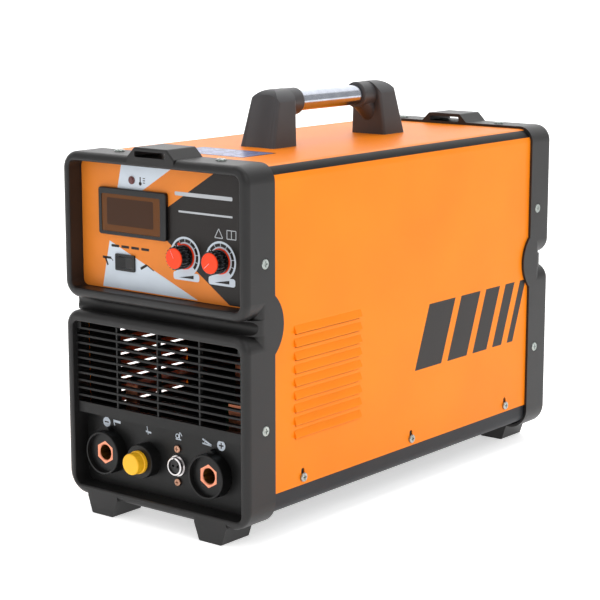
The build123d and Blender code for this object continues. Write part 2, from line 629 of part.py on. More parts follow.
# ---- grille and connector panel ------------------------------------------------------------
GRILLE_DEPTH = 5.0       # front face of the bars behind the rim
GRILLE_THICK = 5.0
GRILLE_SLOTS = 11
STRIP_TOP = 95.2
STRIP_BOTTOM = 86.8
BAR = 1.7
grille_top = LOWER_WINDOW[1]
slot_pitch = (grille_top - STRIP_TOP) / GRILLE_SLOTS

with BuildPart() as front_grille:
    with BuildSketch(at_y(FRONT + GRILLE_DEPTH)):
        with Locations((0, (grille_top + STRIP_BOTTOM) / 2)):
            Rectangle(WINDOW_WIDTH - 0.2, grille_top - STRIP_BOTTOM - 0.1)
        fillet(vertices().group_by(Axis.Y)[-1], WINDOW_CORNER)
    extrude(amount=-GRILLE_THICK)
    for i in range(GRILLE_SLOTS):
        slot_middle = STRIP_TOP + slot_pitch * (i + 0.5)
        slot_width = WINDOW_WIDTH - 3.0
        if i == GRILLE_SLOTS - 1:
            slot_width = WINDOW_WIDTH - 2 * WINDOW_CORNER
        with Locations((0, FRONT + GRILLE_DEPTH + GRILLE_THICK / 2, slot_middle)):
            Box(slot_width, GRILLE_THICK + 2, slot_pitch - BAR, mode=Mode.SUBTRACT)
    with Locations(*[(x, FRONT + GRILLE_DEPTH + 0.6 + 2.0, (grille_top + STRIP_TOP) / 2)
                     for x in (-46.6, 0, 46.6)]):
        Box(1.6, 4.0, grille_top - STRIP_TOP)
    # The wall that runs back from the strip to the connector panel.
    with Locations((0, FRONT + GRILLE_DEPTH, STRIP_BOTTOM)):
        Box(WINDOW_WIDTH - 0.2, CONNECTOR_DEPTH - GRILLE_DEPTH, 2.5,
            align=(Align.CENTER, Align.MIN, Align.MIN))
save(front_grille.part, "front_grille")

SOCKET_R = 19.0
SOCKET_NECK_R = 13.0
GAS_NECK_R = 9.5
TORCH_NECK_R = 7.4
TORCH_SCREW_OFFSET = 14.5
with BuildPart() as connector_panel:
    with BuildSketch(at_y(CONNECTOR_Y)):
        with Locations((0, (LOWER_WINDOW[0] + STRIP_BOTTOM) / 2)):
            Rectangle(WINDOW_WIDTH - 0.2, STRIP_BOTTOM - LOWER_WINDOW[0] - 0.2)
        fillet(vertices().group_by(Axis.Y)[0], WINDOW_CORNER)
        with Locations(*[(x, SOCKET_HEIGHT) for x in SOCKET_PLACES.values()]):
            Circle(SOCKET_NECK_R + 0.1, mode=Mode.SUBTRACT)
        with Locations((GAS_X, SOCKET_HEIGHT)):
            Circle(GAS_NECK_R + 0.1, mode=Mode.SUBTRACT)
        with Locations((TORCH_X, TORCH_HEIGHT)):
            Circle(TORCH_NECK_R + 0.1, mode=Mode.SUBTRACT)
            with Locations((0, TORCH_SCREW_OFFSET), (0, -TORCH_SCREW_OFFSET)):
                Circle(1.7, mode=Mode.SUBTRACT)
    extrude(amount=-2.5)
save(connector_panel.part, "connector_panel")

# ---- output sockets ---------------------------------------------------------------------------
SOCKET_PROUD = 12.0
SOCKET_WALL = 1.9
HEX_RECESS = 4.3
HEX_R = 10.15             # corner radius of the copper contact's hexagon
CONTACT_R = 9.0
BORE_DEPTH = 30.0
LUG_R = 3.0
LUG_LENGTH = 6.0
for pole, x in SOCKET_PLACES.items():
    rim_y = CONNECTOR_Y - SOCKET_PROUD
    hex_y = rim_y + HEX_RECESS
    with BuildPart() as socket:
        with BuildSketch(at_y(rim_y)):
            with Locations((x, SOCKET_HEIGHT)):
                Circle(SOCKET_R)
        extrude(amount=-SOCKET_PROUD)
        fillet(edges().group_by(Axis.Y)[0], 1.0)
        # A rounded lug on top of the ring marks the key of the plug.
        with BuildSketch(at_y(CONNECTOR_Y - LUG_LENGTH)):
            with Locations((x, SOCKET_HEIGHT + SOCKET_R)):
                Circle(LUG_R)
        extrude(amount=-LUG_LENGTH)
        with BuildSketch(at_y(CONNECTOR_Y)):
            with Locations((x, SOCKET_HEIGHT)):
                Circle(SOCKET_NECK_R)
        extrude(amount=-16)
        with BuildSketch(at_y(rim_y)):
            with Locations((x, SOCKET_HEIGHT)):
                Circle(SOCKET_R - SOCKET_WALL)
        extrude(amount=-HEX_RECESS, mode=Mode.SUBTRACT)
        with BuildSketch(at_y(rim_y)):
            with Locations((x, SOCKET_HEIGHT)):
                RegularPolygon(HEX_R, 6, rotation=30)
        extrude(amount=-(HEX_RECESS + 3), mode=Mode.SUBTRACT)
        with BuildSketch(at_y(rim_y)):
            with Locations((x, SOCKET_HEIGHT)):
                Circle(CONTACT_R - 0.6)
        extrude(amount=-40, mode=Mode.SUBTRACT)
    save(socket.part, f"{pole}_socket")

    with BuildPart() as contact:
        with BuildSketch(at_y(hex_y)):
            with Locations((x, SOCKET_HEIGHT)):
                RegularPolygon(HEX_R - 0.05, 6, rotation=30)
        extrude(amount=-3)
        with BuildSketch(at_y(hex_y + 3)):
            with Locations((x, SOCKET_HEIGHT)):
                Circle(CONTACT_R - 0.65)
        extrude(amount=-(BORE_DEPTH + 1))
        with Locations(facing((x, hex_y + BORE_DEPTH + 4, SOCKET_HEIGHT), (0, 1, 0))):
            Cylinder(4.0, 8, align=MIN_END)
        with Locations(facing((x, hex_y, SOCKET_HEIGHT), (0, -1, 0))):
            Hole(SOCKET_BORE_R, depth=BORE_DEPTH)
        chamfer(edges().filter_by(GeomType.CIRCLE).group_by(Axis.Y)[0], 0.7)
    save(contact.part, f"{pole}_contact")

# ---- gas outlet -----------------------------------------------------------------------------------
COLLAR_R = 14.7
COLLAR_PROUD = 11.6
CAP_FRONT_Y = FRONT - FITTING_REACH
CAP_SKIRT_Y = CONNECTOR_Y - COLLAR_PROUD - GAP
NIPPLE_FRONT_Y = CAP_FRONT_Y + 2.2
CAP_SLEEVE_R = GAS_THREAD_R + RUN
gas_front = (GAS_X, CONNECTOR_Y, SOCKET_HEIGHT)

with BuildPart() as gas_outlet_collar:
    with Locations(facing(gas_front, (0, -1, 0))):
        Cylinder(COLLAR_R, COLLAR_PROUD, align=MIN_END)
        fillet(edges().group_by(Axis.Y)[0], 0.8)
    with Locations(facing(gas_front, (0, 1, 0))):
        Cylinder(GAS_NECK_R, 8, align=MIN_END)
    with BuildSketch(at_y(CONNECTOR_Y - COLLAR_PROUD)):
        with Locations((GAS_X, SOCKET_HEIGHT)):
            Circle(GAS_THREAD_R + 0.1)
    extrude(amount=-30, mode=Mode.SUBTRACT)
save(gas_outlet_collar.part, "gas_outlet_collar")

GAS_SEAT_R = 4.5
with BuildPart() as gas_outlet:
    with Locations(facing((GAS_X, NIPPLE_FRONT_Y, SOCKET_HEIGHT), (0, 1, 0))):
        Cylinder(GAS_THREAD_R, 32, align=MIN_END)
        Cylinder(HOSE_R - HOSE_WALL, 48, align=MIN_END)
    chamfer(edges().filter_by(GeomType.CIRCLE).group_by(Axis.Y)[0], 0.6)
    with Locations(facing((GAS_X, NIPPLE_FRONT_Y, SOCKET_HEIGHT), (0, -1, 0))):
        Hole(1.6, depth=60)
    with BuildSketch(at_y(NIPPLE_FRONT_Y)):
        with Locations((GAS_X, SOCKET_HEIGHT)):
            Circle(GAS_SEAT_R)
    extrude(amount=-6, taper=22, mode=Mode.SUBTRACT)
save(gas_outlet.part, "gas_outlet")

with BuildPart() as gas_dust_cap:
    with BuildSketch(Plane(origin=(GAS_X, 0, SOCKET_HEIGHT), x_dir=(0, 1, 0), z_dir=(1, 0, 0))):
        with BuildLine():
            Polyline((CAP_FRONT_Y, 0), (CAP_FRONT_Y, 9.2), (CAP_SKIRT_Y - 3.2, 9.2), (CAP_SKIRT_Y - 2.6, 9.9),
                     (CAP_SKIRT_Y, 9.9), (CAP_SKIRT_Y, CAP_SLEEVE_R), (NIPPLE_FRONT_Y - GAP, CAP_SLEEVE_R),
                     (NIPPLE_FRONT_Y - GAP, 0), close=True)
        make_face()
        fillet(vertices().group_by(Axis.X)[0].group_by(Axis.Y)[-1], 1.2)
    revolve(axis=Axis((GAS_X, 0, SOCKET_HEIGHT), (0, 1, 0)))
save(gas_dust_cap.part, "gas_dust_cap")

# ---- torch control socket ------------------------------------------------------------------------------
TORCH_PROUD = 5.4
with BuildPart() as torch_socket_shell:
    with Locations(facing((TORCH_X, CONNECTOR_Y, TORCH_HEIGHT), (0, -1, 0))):
        Cylinder(8.9, 1.8, align=MIN_END)
        Cylinder(TORCH_THREAD_R, TORCH_PROUD, align=MIN_END)
    fillet(edges().filter_by(GeomType.CIRCLE).group_by(Axis.Y)[0], 0.5)
    with Locations(facing((TORCH_X, CONNECTOR_Y, TORCH_HEIGHT), (0, 1, 0))):
        Cylinder(TORCH_NECK_R, 12, align=MIN_END)
    with BuildSketch(at_y(CONNECTOR_Y - TORCH_PROUD)):
        with Locations((TORCH_X, TORCH_HEIGHT)):
            Circle(6.4)
    extrude(amount=-30, mode=Mode.SUBTRACT)
    with Locations((TORCH_X, CONNECTOR_Y - TORCH_PROUD, TORCH_HEIGHT + 6.5)):
        Box(1.6, 6, 1.6, mode=Mode.SUBTRACT)
save(torch_socket_shell.part, "torch_socket_shell")

with BuildPart() as torch_socket_insert:
    with Locations(facing((TORCH_X, CONNECTOR_Y - TORCH_PROUD + 1.6, TORCH_HEIGHT), (0, 1, 0))):
        Cylinder(6.35, 12, align=MIN_END)
    fillet(edges().group_by(Axis.Y)[0], 0.5)
    with Locations(*[facing((TORCH_X + dx, CONNECTOR_Y - TORCH_PROUD + 1.6, TORCH_HEIGHT), (0, -1, 0))
                     for dx in (-2.6, 2.6)]):
        Hole(1.2, depth=6)
save(torch_socket_insert.part, "torch_socket_insert")

torch_places = [facing((TORCH_X, CONNECTOR_Y, TORCH_HEIGHT + dz), (0, -1, 0))
                for dz in (-TORCH_SCREW_OFFSET, TORCH_SCREW_OFFSET)]
save(cross_screws(torch_places, 3.4, 2.0, 1.5, 8), "torch_socket_screws")

# ---- rear panels -------------------------------------------------------------------------------------------
BREAKER_AT = (-48.0, 252.0)
BREAKER_FACE = (30.0, 56.0)
GLAND_AT = (30.0, 228.0)
INLET_AT = (66.0, 268.0)
EARTH_AT = (66.0, 212.0)
FAN_SCREW = 52.5
RING_RADII = (18.0, 27.0, 36.0, 45.0, 54.0)
RING_SLOT = 4.6

with BuildPart() as rear_plate:
    with BuildSketch(at_y(REAR_PANEL_Y)):
        with Locations((0, PANEL_MIDDLE)):
            RectangleRounded(PANEL_SIZE[0], PANEL_SIZE[1], WINDOW_CORNER)
        with Locations(BREAKER_AT):
            Rectangle(BREAKER_FACE[0] - 4, BREAKER_FACE[1] - 4, mode=Mode.SUBTRACT)
        with Locations(GLAND_AT):
            Circle(11.1, mode=Mode.SUBTRACT)
        with Locations(INLET_AT):
            Circle(6.1, mode=Mode.SUBTRACT)
        with Locations(EARTH_AT):
            Circle(3.1, mode=Mode.SUBTRACT)
    extrude(amount=SHEET)
save(rear_plate.part, "rear_plate")

with BuildPart() as fan_guard:
    guard_middle = (LOWER_WINDOW[0] + LOWER_WINDOW[1]) / 2
    with BuildSketch(at_y(REAR_PANEL_Y)):
        with Locations((0, guard_middle)):
            RectangleRounded(WINDOW_WIDTH - 0.2, LOWER_WINDOW[1] - LOWER_WINDOW[0] - 0.2, WINDOW_CORNER)
        with Locations((0, FAN_HEIGHT)):
            with PolarLocations(0, 4):
                for radius in RING_RADII:
                    slot_path = Edge.make_circle(radius, start_angle=8, end_angle=82)
                    SlotArc(slot_path, RING_SLOT, mode=Mode.SUBTRACT)
            with GridLocations(2 * FAN_SCREW, 2 * FAN_SCREW, 2, 2):
                Circle(2.3, mode=Mode.SUBTRACT)
    extrude(amount=SHEET)
save(fan_guard.part, "fan_guard")

fan_places = [facing((dx, REAR_PANEL_Y, FAN_HEIGHT + dz), (0, 1, 0))
              for dx in (-FAN_SCREW, FAN_SCREW) for dz in (-FAN_SCREW, FAN_SCREW)]
save(cross_screws(fan_places, 4.0, 2.4, 2.1, 12), "fan_screws")

# ---- fan -----------------------------------------------------------------------------------------------------
FAN_BORE_R = 57.5
HUB_R = 20.0
BLADES = 7
FAN_SHAFT_R = 2.0
fan_back_y = REAR_PANEL_Y - SHEET
fan_front_y = fan_back_y - FAN_DEPTH

with BuildPart() as fan_frame:
    with BuildSketch(at_y(fan_back_y)):
        with Locations((0, FAN_HEIGHT)):
            RectangleRounded(FAN_SIZE, FAN_SIZE, 6)
            Circle(FAN_BORE_R, mode=Mode.SUBTRACT)
            with GridLocations(2 * FAN_SCREW, 2 * FAN_SCREW, 2, 2):
                Circle(2.2, mode=Mode.SUBTRACT)
    extrude(amount=FAN_DEPTH)
    # Struts and the motor mount stand at the front of the frame.
    with BuildSketch(at_y(fan_front_y)):
        with Locations((0, FAN_HEIGHT)):
            Circle(HUB_R)
            with PolarLocations(HUB_R + 19, 4, start_angle=45):
                Rectangle(44, 6)
            Circle(FAN_SHAFT_R + RUN, mode=Mode.SUBTRACT)
    extrude(amount=-3.5)
save(fan_frame.part, "fan_frame")

with BuildPart() as fan_rotor:
    rotor_front = fan_front_y + 3.5 + GAP + 0.4
    rotor_back = fan_back_y - 1.5
    with BuildSketch(at_y(rotor_front)):
        with Locations((0, FAN_HEIGHT)):
            Circle(HUB_R - 0.5)
    extrude(amount=-(rotor_back - rotor_front))
    fillet(edges().filter_by(GeomType.CIRCLE).group_by(Axis.Y)[-1], 2)
    blade_length = FAN_BORE_R - 2.2 - HUB_R + 2.5
    for i in range(BLADES):
        turn = i * 360 / BLADES
        ray = Vector(math.cos(math.radians(turn)), 0, math.sin(math.radians(turn)))
        root = Vector(0, (rotor_front + rotor_back) / 2, FAN_HEIGHT) + ray * (HUB_R - 2.5)
        tangent = ray.cross(Vector(0, 1, 0))
        for reach, chord, thick, pitch in ((0, 20, 2.0, 38), (blade_length, 19, 1.6, 52)):
            lean = math.radians(pitch)
            chord_line = Vector(0, 1, 0) * math.cos(lean) + tangent * math.sin(lean)
            with BuildSketch(Plane(origin=root + ray * reach, x_dir=chord_line, z_dir=ray)):
                RectangleRounded(chord, thick, thick * 0.45)
        loft()
    with Locations(facing((0, rotor_front, FAN_HEIGHT), (0, -1, 0))):
        Cylinder(FAN_SHAFT_R, 4.0, align=MIN_END)
save(fan_rotor.part, "fan_rotor")

# ---- power switch ------------------------------------------------------------------------------------------------
TOGGLE_R = 7.0
TOGGLE_DEPTH = 5.0       # axis of the toggle behind the breaker's face
TOGGLE_WIDTH = 8.0
TOGGLE_REST = 24.0       # degrees below level: the switch is off
BREAKER_PROUD = 3.0
breaker_face_y = REAR_PANEL_Y + BREAKER_PROUD
toggle_y = breaker_face_y - TOGGLE_DEPTH

with BuildPart() as power_switch_body:
    with BuildSketch(at_y(breaker_face_y)):
        with Locations(BREAKER_AT):
            RectangleRounded(BREAKER_FACE[0], BREAKER_FACE[1], 2)
    extrude(amount=BREAKER_PROUD)
    fillet(faces().sort_by(Axis.Y)[-1].edges(), 0.8)
    with BuildSketch(at_y(REAR_PANEL_Y)):
        with Locations(BREAKER_AT):
            Rectangle(BREAKER_FACE[0] - 4.4, BREAKER_FACE[1] - 4.4)
    extrude(amount=44)
    with Locations((BREAKER_AT[0], toggle_y, BREAKER_AT[1])):
        Cylinder(TOGGLE_R + GAP, TOGGLE_WIDTH + 2 * GAP, rotation=(0, 90, 0), mode=Mode.SUBTRACT)
    with Locations((BREAKER_AT[0], toggle_y + 6, BREAKER_AT[1])):
        Box(TOGGLE_WIDTH + 2 * GAP, 12, 2 * (TOGGLE_R + GAP), mode=Mode.SUBTRACT)
    with Locations((BREAKER_AT[0], toggle_y, BREAKER_AT[1])):
        Cylinder(1.2, TOGGLE_WIDTH + 2 * GAP + 2, rotation=(0, 90, 0))
save(power_switch_body.part, "power_switch_body")

with BuildPart() as power_toggle:
    with Locations((BREAKER_AT[0], toggle_y, BREAKER_AT[1])):
        Cylinder(TOGGLE_R, TOGGLE_WIDTH, rotation=(0, 90, 0))
    droop = math.radians(TOGGLE_REST)
    lever_plane = Plane(origin=(BREAKER_AT[0], toggle_y, BREAKER_AT[1]),
                        x_dir=(0, math.cos(droop), -math.sin(droop)), z_dir=(1, 0, 0))
    with BuildSketch(lever_plane):
        with Locations((8, 0)):
            RectangleRounded(11, 5, 1.6)
    extrude(amount=TOGGLE_WIDTH / 2, both=True)
    with Locations((BREAKER_AT[0], toggle_y, BREAKER_AT[1])):
        Cylinder(1.2 + RUN, TOGGLE_WIDTH + 4, rotation=(0, 90, 0), mode=Mode.SUBTRACT)
save(power_toggle.part, "power_toggle")

# ---- rear fittings -----------------------------------------------------------------------------------------------------
with BuildPart() as cable_gland:
    gland_y = REAR_PANEL_Y
    with BuildSketch(at_y(gland_y + 5)):
        with Locations(GLAND_AT):
            RegularPolygon(14.0, 6)
    extrude(amount=5)
    with Locations(facing((GLAND_AT[0], gland_y + 5, GLAND_AT[1]), (0, 1, 0))):
        Cylinder(12.0, 8, align=MIN_END)
    fillet(edges().filter_by(GeomType.CIRCLE).group_by(Axis.Y)[-1], 3)
    with Locations(facing((GLAND_AT[0], gland_y, GLAND_AT[1]), (0, -1, 0))):
        Cylinder(11.0, 10, align=MIN_END)
    with BuildSketch(at_y(gland_y - 1.5 - 0.1)):
        with Locations(GLAND_AT):
            RegularPolygon(14.0, 6)
    extrude(amount=5)
    with Locations(facing((GLAND_AT[0], gland_y + 13, GLAND_AT[1]), (0, 1, 0))):
        Hole(5.5, depth=40)
save(cable_gland.part, "cable_gland")

INLET_PIN_R = 4.6
INLET_PROUD = PANEL_DEPTH + FITTING_REACH
with BuildPart() as gas_inlet:
    with BuildSketch(at_y(REAR_PANEL_Y + 5)):
        with Locations(INLET_AT):
            RegularPolygon(9.0, 6)
    extrude(amount=5)
    with Locations(facing((INLET_AT[0], REAR_PANEL_Y + 5, INLET_AT[1]), (0, 1, 0))):
        Cylinder(INLET_PIN_R, INLET_PROUD - 5, align=MIN_END)
    chamfer(edges().filter_by(GeomType.CIRCLE).group_by(Axis.Y)[-1], 0.6)
    with Locations(facing((INLET_AT[0], REAR_PANEL_Y, INLET_AT[1]), (0, -1, 0))):
        Cylinder(6.0, 16, align=MIN_END)
    with Locations(facing((INLET_AT[0], REAR_PANEL_Y + INLET_PROUD, INLET_AT[1]), (0, 1, 0))):
        Hole(2.2, depth=60)
save(gas_inlet.part, "gas_inlet")

with BuildPart() as earth_stud:
    with Locations(facing((EARTH_AT[0], REAR_PANEL_Y + 12, EARTH_AT[1]), (0, -1, 0))):
        Cylinder(3.0, 30, align=MIN_END)
    with BuildSketch(at_y(REAR_PANEL_Y + 5)):
        with Locations(EARTH_AT):
            RegularPolygon(5.7, 6)
    extrude(amount=5)
save(earth_stud.part, "earth_stud")

# ---- gas valve and hose ----------------------------------------------------------------------------------------------------
VALVE_Y = REAR_PANEL_Y - 16.0
VALVE_SIZE = (26.0, 34.0, 24.0)
COIL_R = 14.0
PLUNGER_R = 4.5
PLUNGER_TRAVEL = 2.5
valve_middle_y = VALVE_Y - VALVE_SIZE[1] / 2
valve_top = INLET_AT[1] + VALVE_SIZE[2] / 2 - 6
hose_start_y = VALVE_Y - VALVE_SIZE[1]

with BuildPart() as gas_valve:
    with Locations((INLET_AT[0], valve_middle_y, valve_top - VALVE_SIZE[2] / 2)):
        Box(*VALVE_SIZE)
    with Locations((INLET_AT[0], valve_middle_y, valve_top)):
        Cylinder(COIL_R, 28, align=MIN_END)
    with Locations((INLET_AT[0], valve_middle_y, valve_top - 6)):
        Cylinder(PLUNGER_R + RUN, 26, align=MIN_END, mode=Mode.SUBTRACT)
    with Locations(facing((INLET_AT[0], hose_start_y, INLET_AT[1]), (0, -1, 0))):
        Cylinder(HOSE_R - HOSE_WALL, 8, align=MIN_END)
save(gas_valve.part, "gas_valve")

with BuildPart() as valve_plunger:
    with Locations((INLET_AT[0], valve_middle_y, valve_top - 5.8)):
        Cylinder(PLUNGER_R, 20, align=MIN_END)
save(valve_plunger.part, "valve_plunger")

HOSE_DROP_Y = -150.0
HOSE_END_Y = NIPPLE_FRONT_Y + 34.0
HOSE_BEND = 24.0
with BuildPart() as gas_hose:
    with BuildLine() as hose_path:
        FilletPolyline((INLET_AT[0], hose_start_y - 1, INLET_AT[1]),
                       (INLET_AT[0], HOSE_DROP_Y, INLET_AT[1]),
                       (INLET_AT[0], HOSE_DROP_Y, SOCKET_HEIGHT),
                       (GAS_X, HOSE_DROP_Y, SOCKET_HEIGHT),
                       (GAS_X, HOSE_END_Y, SOCKET_HEIGHT), radius=HOSE_BEND)
    with BuildSketch(facing((INLET_AT[0], hose_start_y - 1, INLET_AT[1]), (0, -1, 0))):
        Circle(HOSE_R)
        Circle(HOSE_R - HOSE_WALL + 0.05, mode=Mode.SUBTRACT)
    sweep()
save(gas_hose.part, "gas_hose")

# ---- power electronics -----------------------------------------------------------------------------------------------------------
BOARD_HEIGHT = 62.0
BOARD_SIZE = (150.0, 230.0, 2.0)
BOARD_Y = 55.0
board_top = BOARD_HEIGHT + BOARD_SIZE[2]

with BuildPart() as power_board:
    with Locations((0, BOARD_Y, BOARD_HEIGHT)):
        Box(*BOARD_SIZE, align=MIN_END)
        with GridLocations(BOARD_SIZE[0] - 12, BOARD_SIZE[1] - 12, 2, 2):
            Cylinder(3.5, BOARD_HEIGHT - TRAY_BOTTOM - SHEET, align=MAX_END)
save(power_board.part, "power_board")

SINK = (46.0, 96.0, 44.0)
FINS = 8
with BuildPart() as heatsinks:
    for side in (-1, 1):
        with Locations((side * 46, 100, board_top)):
            Box(SINK[0], SINK[1], 6, align=MIN_END)
        with Locations((side * 46, 100, board_top + 5)):
            with GridLocations((SINK[0] - 1.6) / (FINS - 1), 0, FINS, 1):
                Box(1.6, SINK[1], SINK[2] - 5, align=MIN_END)
save(heatsinks.part, "heatsinks")

with BuildPart() as capacitors:
    with Locations((0, 100, board_top)):
        with GridLocations(0, 34, 1, 3):
            Cylinder(15, 46, align=MIN_END)
    fillet(edges().group_by(Axis.Z)[-1], 1.5)
save(capacitors.part, "capacitors")

with BuildPart() as main_transformer:
    with Locations((-38, 10, board_top)):
        Box(62, 46, 16, align=MIN_END)
        Box(16, 46, 52, align=MIN_END)
    with Locations((-38, 10, board_top + 36)):
        Box(62, 46, 16, align=MIN_END)
    with Locations((-38, 10, board_top + 26)):
        Cylinder(24, 30)
save(main_transformer.part, "main_transformer")

with BuildPart() as output_inductor:
    with Locations((40, 0, board_top + 27)):
        Cylinder(26, 30, rotation=(90, 0, 0))
        Cylinder(11, 40, rotation=(90, 0, 0), mode=Mode.SUBTRACT)
    with Locations((40, 0, board_top)):
        Box(30, 30, 6, align=MIN_END)
save(output_inductor.part, "output_inductor")

with BuildPart() as arc_starter:
    with Locations((30, -110, TRAY_BOTTOM + SHEET)):
        Box(50, 40, 30, align=MIN_END)
    with Locations((30, -110, TRAY_BOTTOM + SHEET + 30)):
        Cylinder(14, 22, align=MIN_END)
save(arc_starter.part, "arc_starter")

BUSBAR = (14.0, 3.0)
BUSBAR_RISE = 104.0
with BuildPart() as busbars:
    for x in SOCKET_PLACES.values():
        bar_y = CONNECTOR_Y - SOCKET_PROUD + HEX_RECESS + BORE_DEPTH + 4
        with Locations((x, bar_y, SOCKET_HEIGHT - 8)):
            Box(BUSBAR[0], BUSBAR[1], BUSBAR_RISE - SOCKET_HEIGHT + 8,
                align=(Align.CENTER, Align.MIN, Align.MIN))
        with Locations((x, bar_y, BUSBAR_RISE)):
            Box(BUSBAR[0], -40 - bar_y, BUSBAR[1], align=(Align.CENTER, Align.MIN, Align.MIN))
        with Locations((x, -40, board_top)):
            Box(BUSBAR[0], BUSBAR[1], BUSBAR_RISE + BUSBAR[1] - board_top,
                align=(Align.CENTER, Align.MIN, Align.MIN))
        with Locations(facing((x, bar_y, SOCKET_HEIGHT), (0, -1, 0))):
            Hole(4.05, depth=BUSBAR[1])
save(busbars.part, "busbars")
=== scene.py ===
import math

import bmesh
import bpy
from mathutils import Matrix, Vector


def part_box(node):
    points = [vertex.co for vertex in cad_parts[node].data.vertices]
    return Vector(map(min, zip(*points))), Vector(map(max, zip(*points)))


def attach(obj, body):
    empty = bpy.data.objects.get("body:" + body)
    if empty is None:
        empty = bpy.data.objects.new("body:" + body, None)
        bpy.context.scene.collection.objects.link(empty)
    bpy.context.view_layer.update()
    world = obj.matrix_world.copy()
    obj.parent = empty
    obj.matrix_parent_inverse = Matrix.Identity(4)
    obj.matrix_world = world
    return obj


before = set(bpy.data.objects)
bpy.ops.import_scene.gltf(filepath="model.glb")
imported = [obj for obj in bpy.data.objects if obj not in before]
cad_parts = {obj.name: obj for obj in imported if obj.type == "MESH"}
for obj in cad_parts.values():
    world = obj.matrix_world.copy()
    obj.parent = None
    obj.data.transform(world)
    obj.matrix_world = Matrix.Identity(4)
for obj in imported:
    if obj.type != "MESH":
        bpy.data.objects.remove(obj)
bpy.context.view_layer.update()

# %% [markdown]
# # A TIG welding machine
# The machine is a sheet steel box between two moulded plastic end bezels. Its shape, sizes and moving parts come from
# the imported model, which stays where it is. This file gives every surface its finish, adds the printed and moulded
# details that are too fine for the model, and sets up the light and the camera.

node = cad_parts

# %% [markdown]
# ## Working in millimetres
# Blender measures in metres, and a panel maker thinks in millimetres, so one short function
# converts lengths. Colours are written as the hex values that a paint chart uses. Shaders want
# linear light, so another function undoes the sRGB curve.

# %% Units and colours
MM = 0.001


def mm(length):
    """A length in millimetres as metres."""
    return length * MM


def linear(hex_colour):
    """An sRGB hex colour as linear red, green, blue and alpha."""
    channels = [int(hex_colour[i:i + 2], 16) / 255 for i in (1, 3, 5)]
    return tuple(c / 12.92 if c <= 0.04045 else ((c + 0.055) / 1.055) ** 2.4 for c in channels) + (1.0,)


# %% [markdown]
# ## Building a material from nodes
# Every finish here starts as one Principled shader with a few pattern nodes in front of it. One
# function adds a node, sets its inputs and makes its links, which keeps each finish short enough
# to read as a recipe. Patterns use Object coordinates. All the pieces sit at the origin, so those
# are simply places on the machine in metres, and a scale of 1000 / size gives one pattern cell
# for every `size` millimetres.

# %% The node helper
def add_node(tree, kind, inputs=None, links=None, **settings):
    """Adds a node, sets its properties and inputs, and links its inputs to other nodes' outputs."""
    made = tree.nodes.new(kind)
    for name, value in settings.items():
        setattr(made, name, value)
    colour_inputs = {"A": 6, "B": 7} if settings.get("data_type") == "RGBA" else {}
    for name, value in (inputs or {}).items():
        made.inputs[colour_inputs.get(name, name)].default_value = value
    for name, output in (links or {}).items():
        tree.links.new(output, made.inputs[colour_inputs.get(name, name)])
    return made


def start_material(name):
    """An empty material with an output, and the object coordinates that its patterns read."""
    made = bpy.data.materials.new(name)
    made.use_nodes = True
    tree = made.node_tree
    tree.nodes.clear()
    out = add_node(tree, "ShaderNodeOutputMaterial")
    place = add_node(tree, "ShaderNodeTexCoord").outputs["Object"]
    return made, tree, out, place


def close_material(tree, out, inputs, links):
    """The Principled shader at the end of a recipe."""
    shader = add_node(tree, "ShaderNodeBsdfPrincipled", inputs, links)
    tree.links.new(shader.outputs["BSDF"], out.inputs["Surface"])
    return shader


def noise(tree, place, size_mm, detail=2.0, rough=0.5):
    """Soft random variation with features of about the given size."""
    return add_node(tree, "ShaderNodeTexNoise", {"Scale": 1000 / size_mm, "Detail": detail, "Roughness": rough},
                    {"Vector": place})


def ramp(tree, source, low, high, at=(0.3, 0.7)):
    """Blends from one colour to another as the source goes from the first level to the second."""
    made = add_node(tree, "ShaderNodeValToRGB", links={"Fac": source})
    made.color_ramp.elements[0].position = at[0]
    made.color_ramp.elements[1].position = at[1]
    made.color_ramp.elements[0].color = low
    made.color_ramp.elements[1].color = high
    return made.outputs["Color"]


def spread(tree, source, low, high):
    """Maps a 0 to 1 pattern onto a range of values."""
    return add_node(tree, "ShaderNodeMapRange", {"To Min": low, "To Max": high},
                    {"Value": source}).outputs["Result"]


def bump(tree, height, depth_mm, strength=1.0):
    """A bump of a real depth."""
    return add_node(tree, "ShaderNodeBump", {"Distance": mm(depth_mm), "Strength": strength},
                    {"Height": height}).outputs["Normal"]


# %% [markdown]
# ## Powder coated steel
# The cover is folded from 1.2 mm steel sheet and powder coated. The powder melts into a skin of paint with a faint
# orange-peel ripple, 2 to 3 mm from crest to crest, and a satin gloss. The ripple is only a few hundredths of a
# millimetre deep, but it is what breaks up the reflections and makes the paint read as powder coat and not as plastic.
# The same recipe in dark grey does for the tray and the panels. The inner skin of the cover's walls and roof is painted
# near black, as painted shade for the unlit inside of the box. The inner faces of the louvre hoods are painted a dull
# red-brown, as painted shade in the louvre openings.

# %% Powder coat
SKIN_SIDE = 98.9         # mm from the middle, just outside the inner skin of the walls
SKIN_TOP = 309.9         # mm above the floor, just above the inner skin of the roof


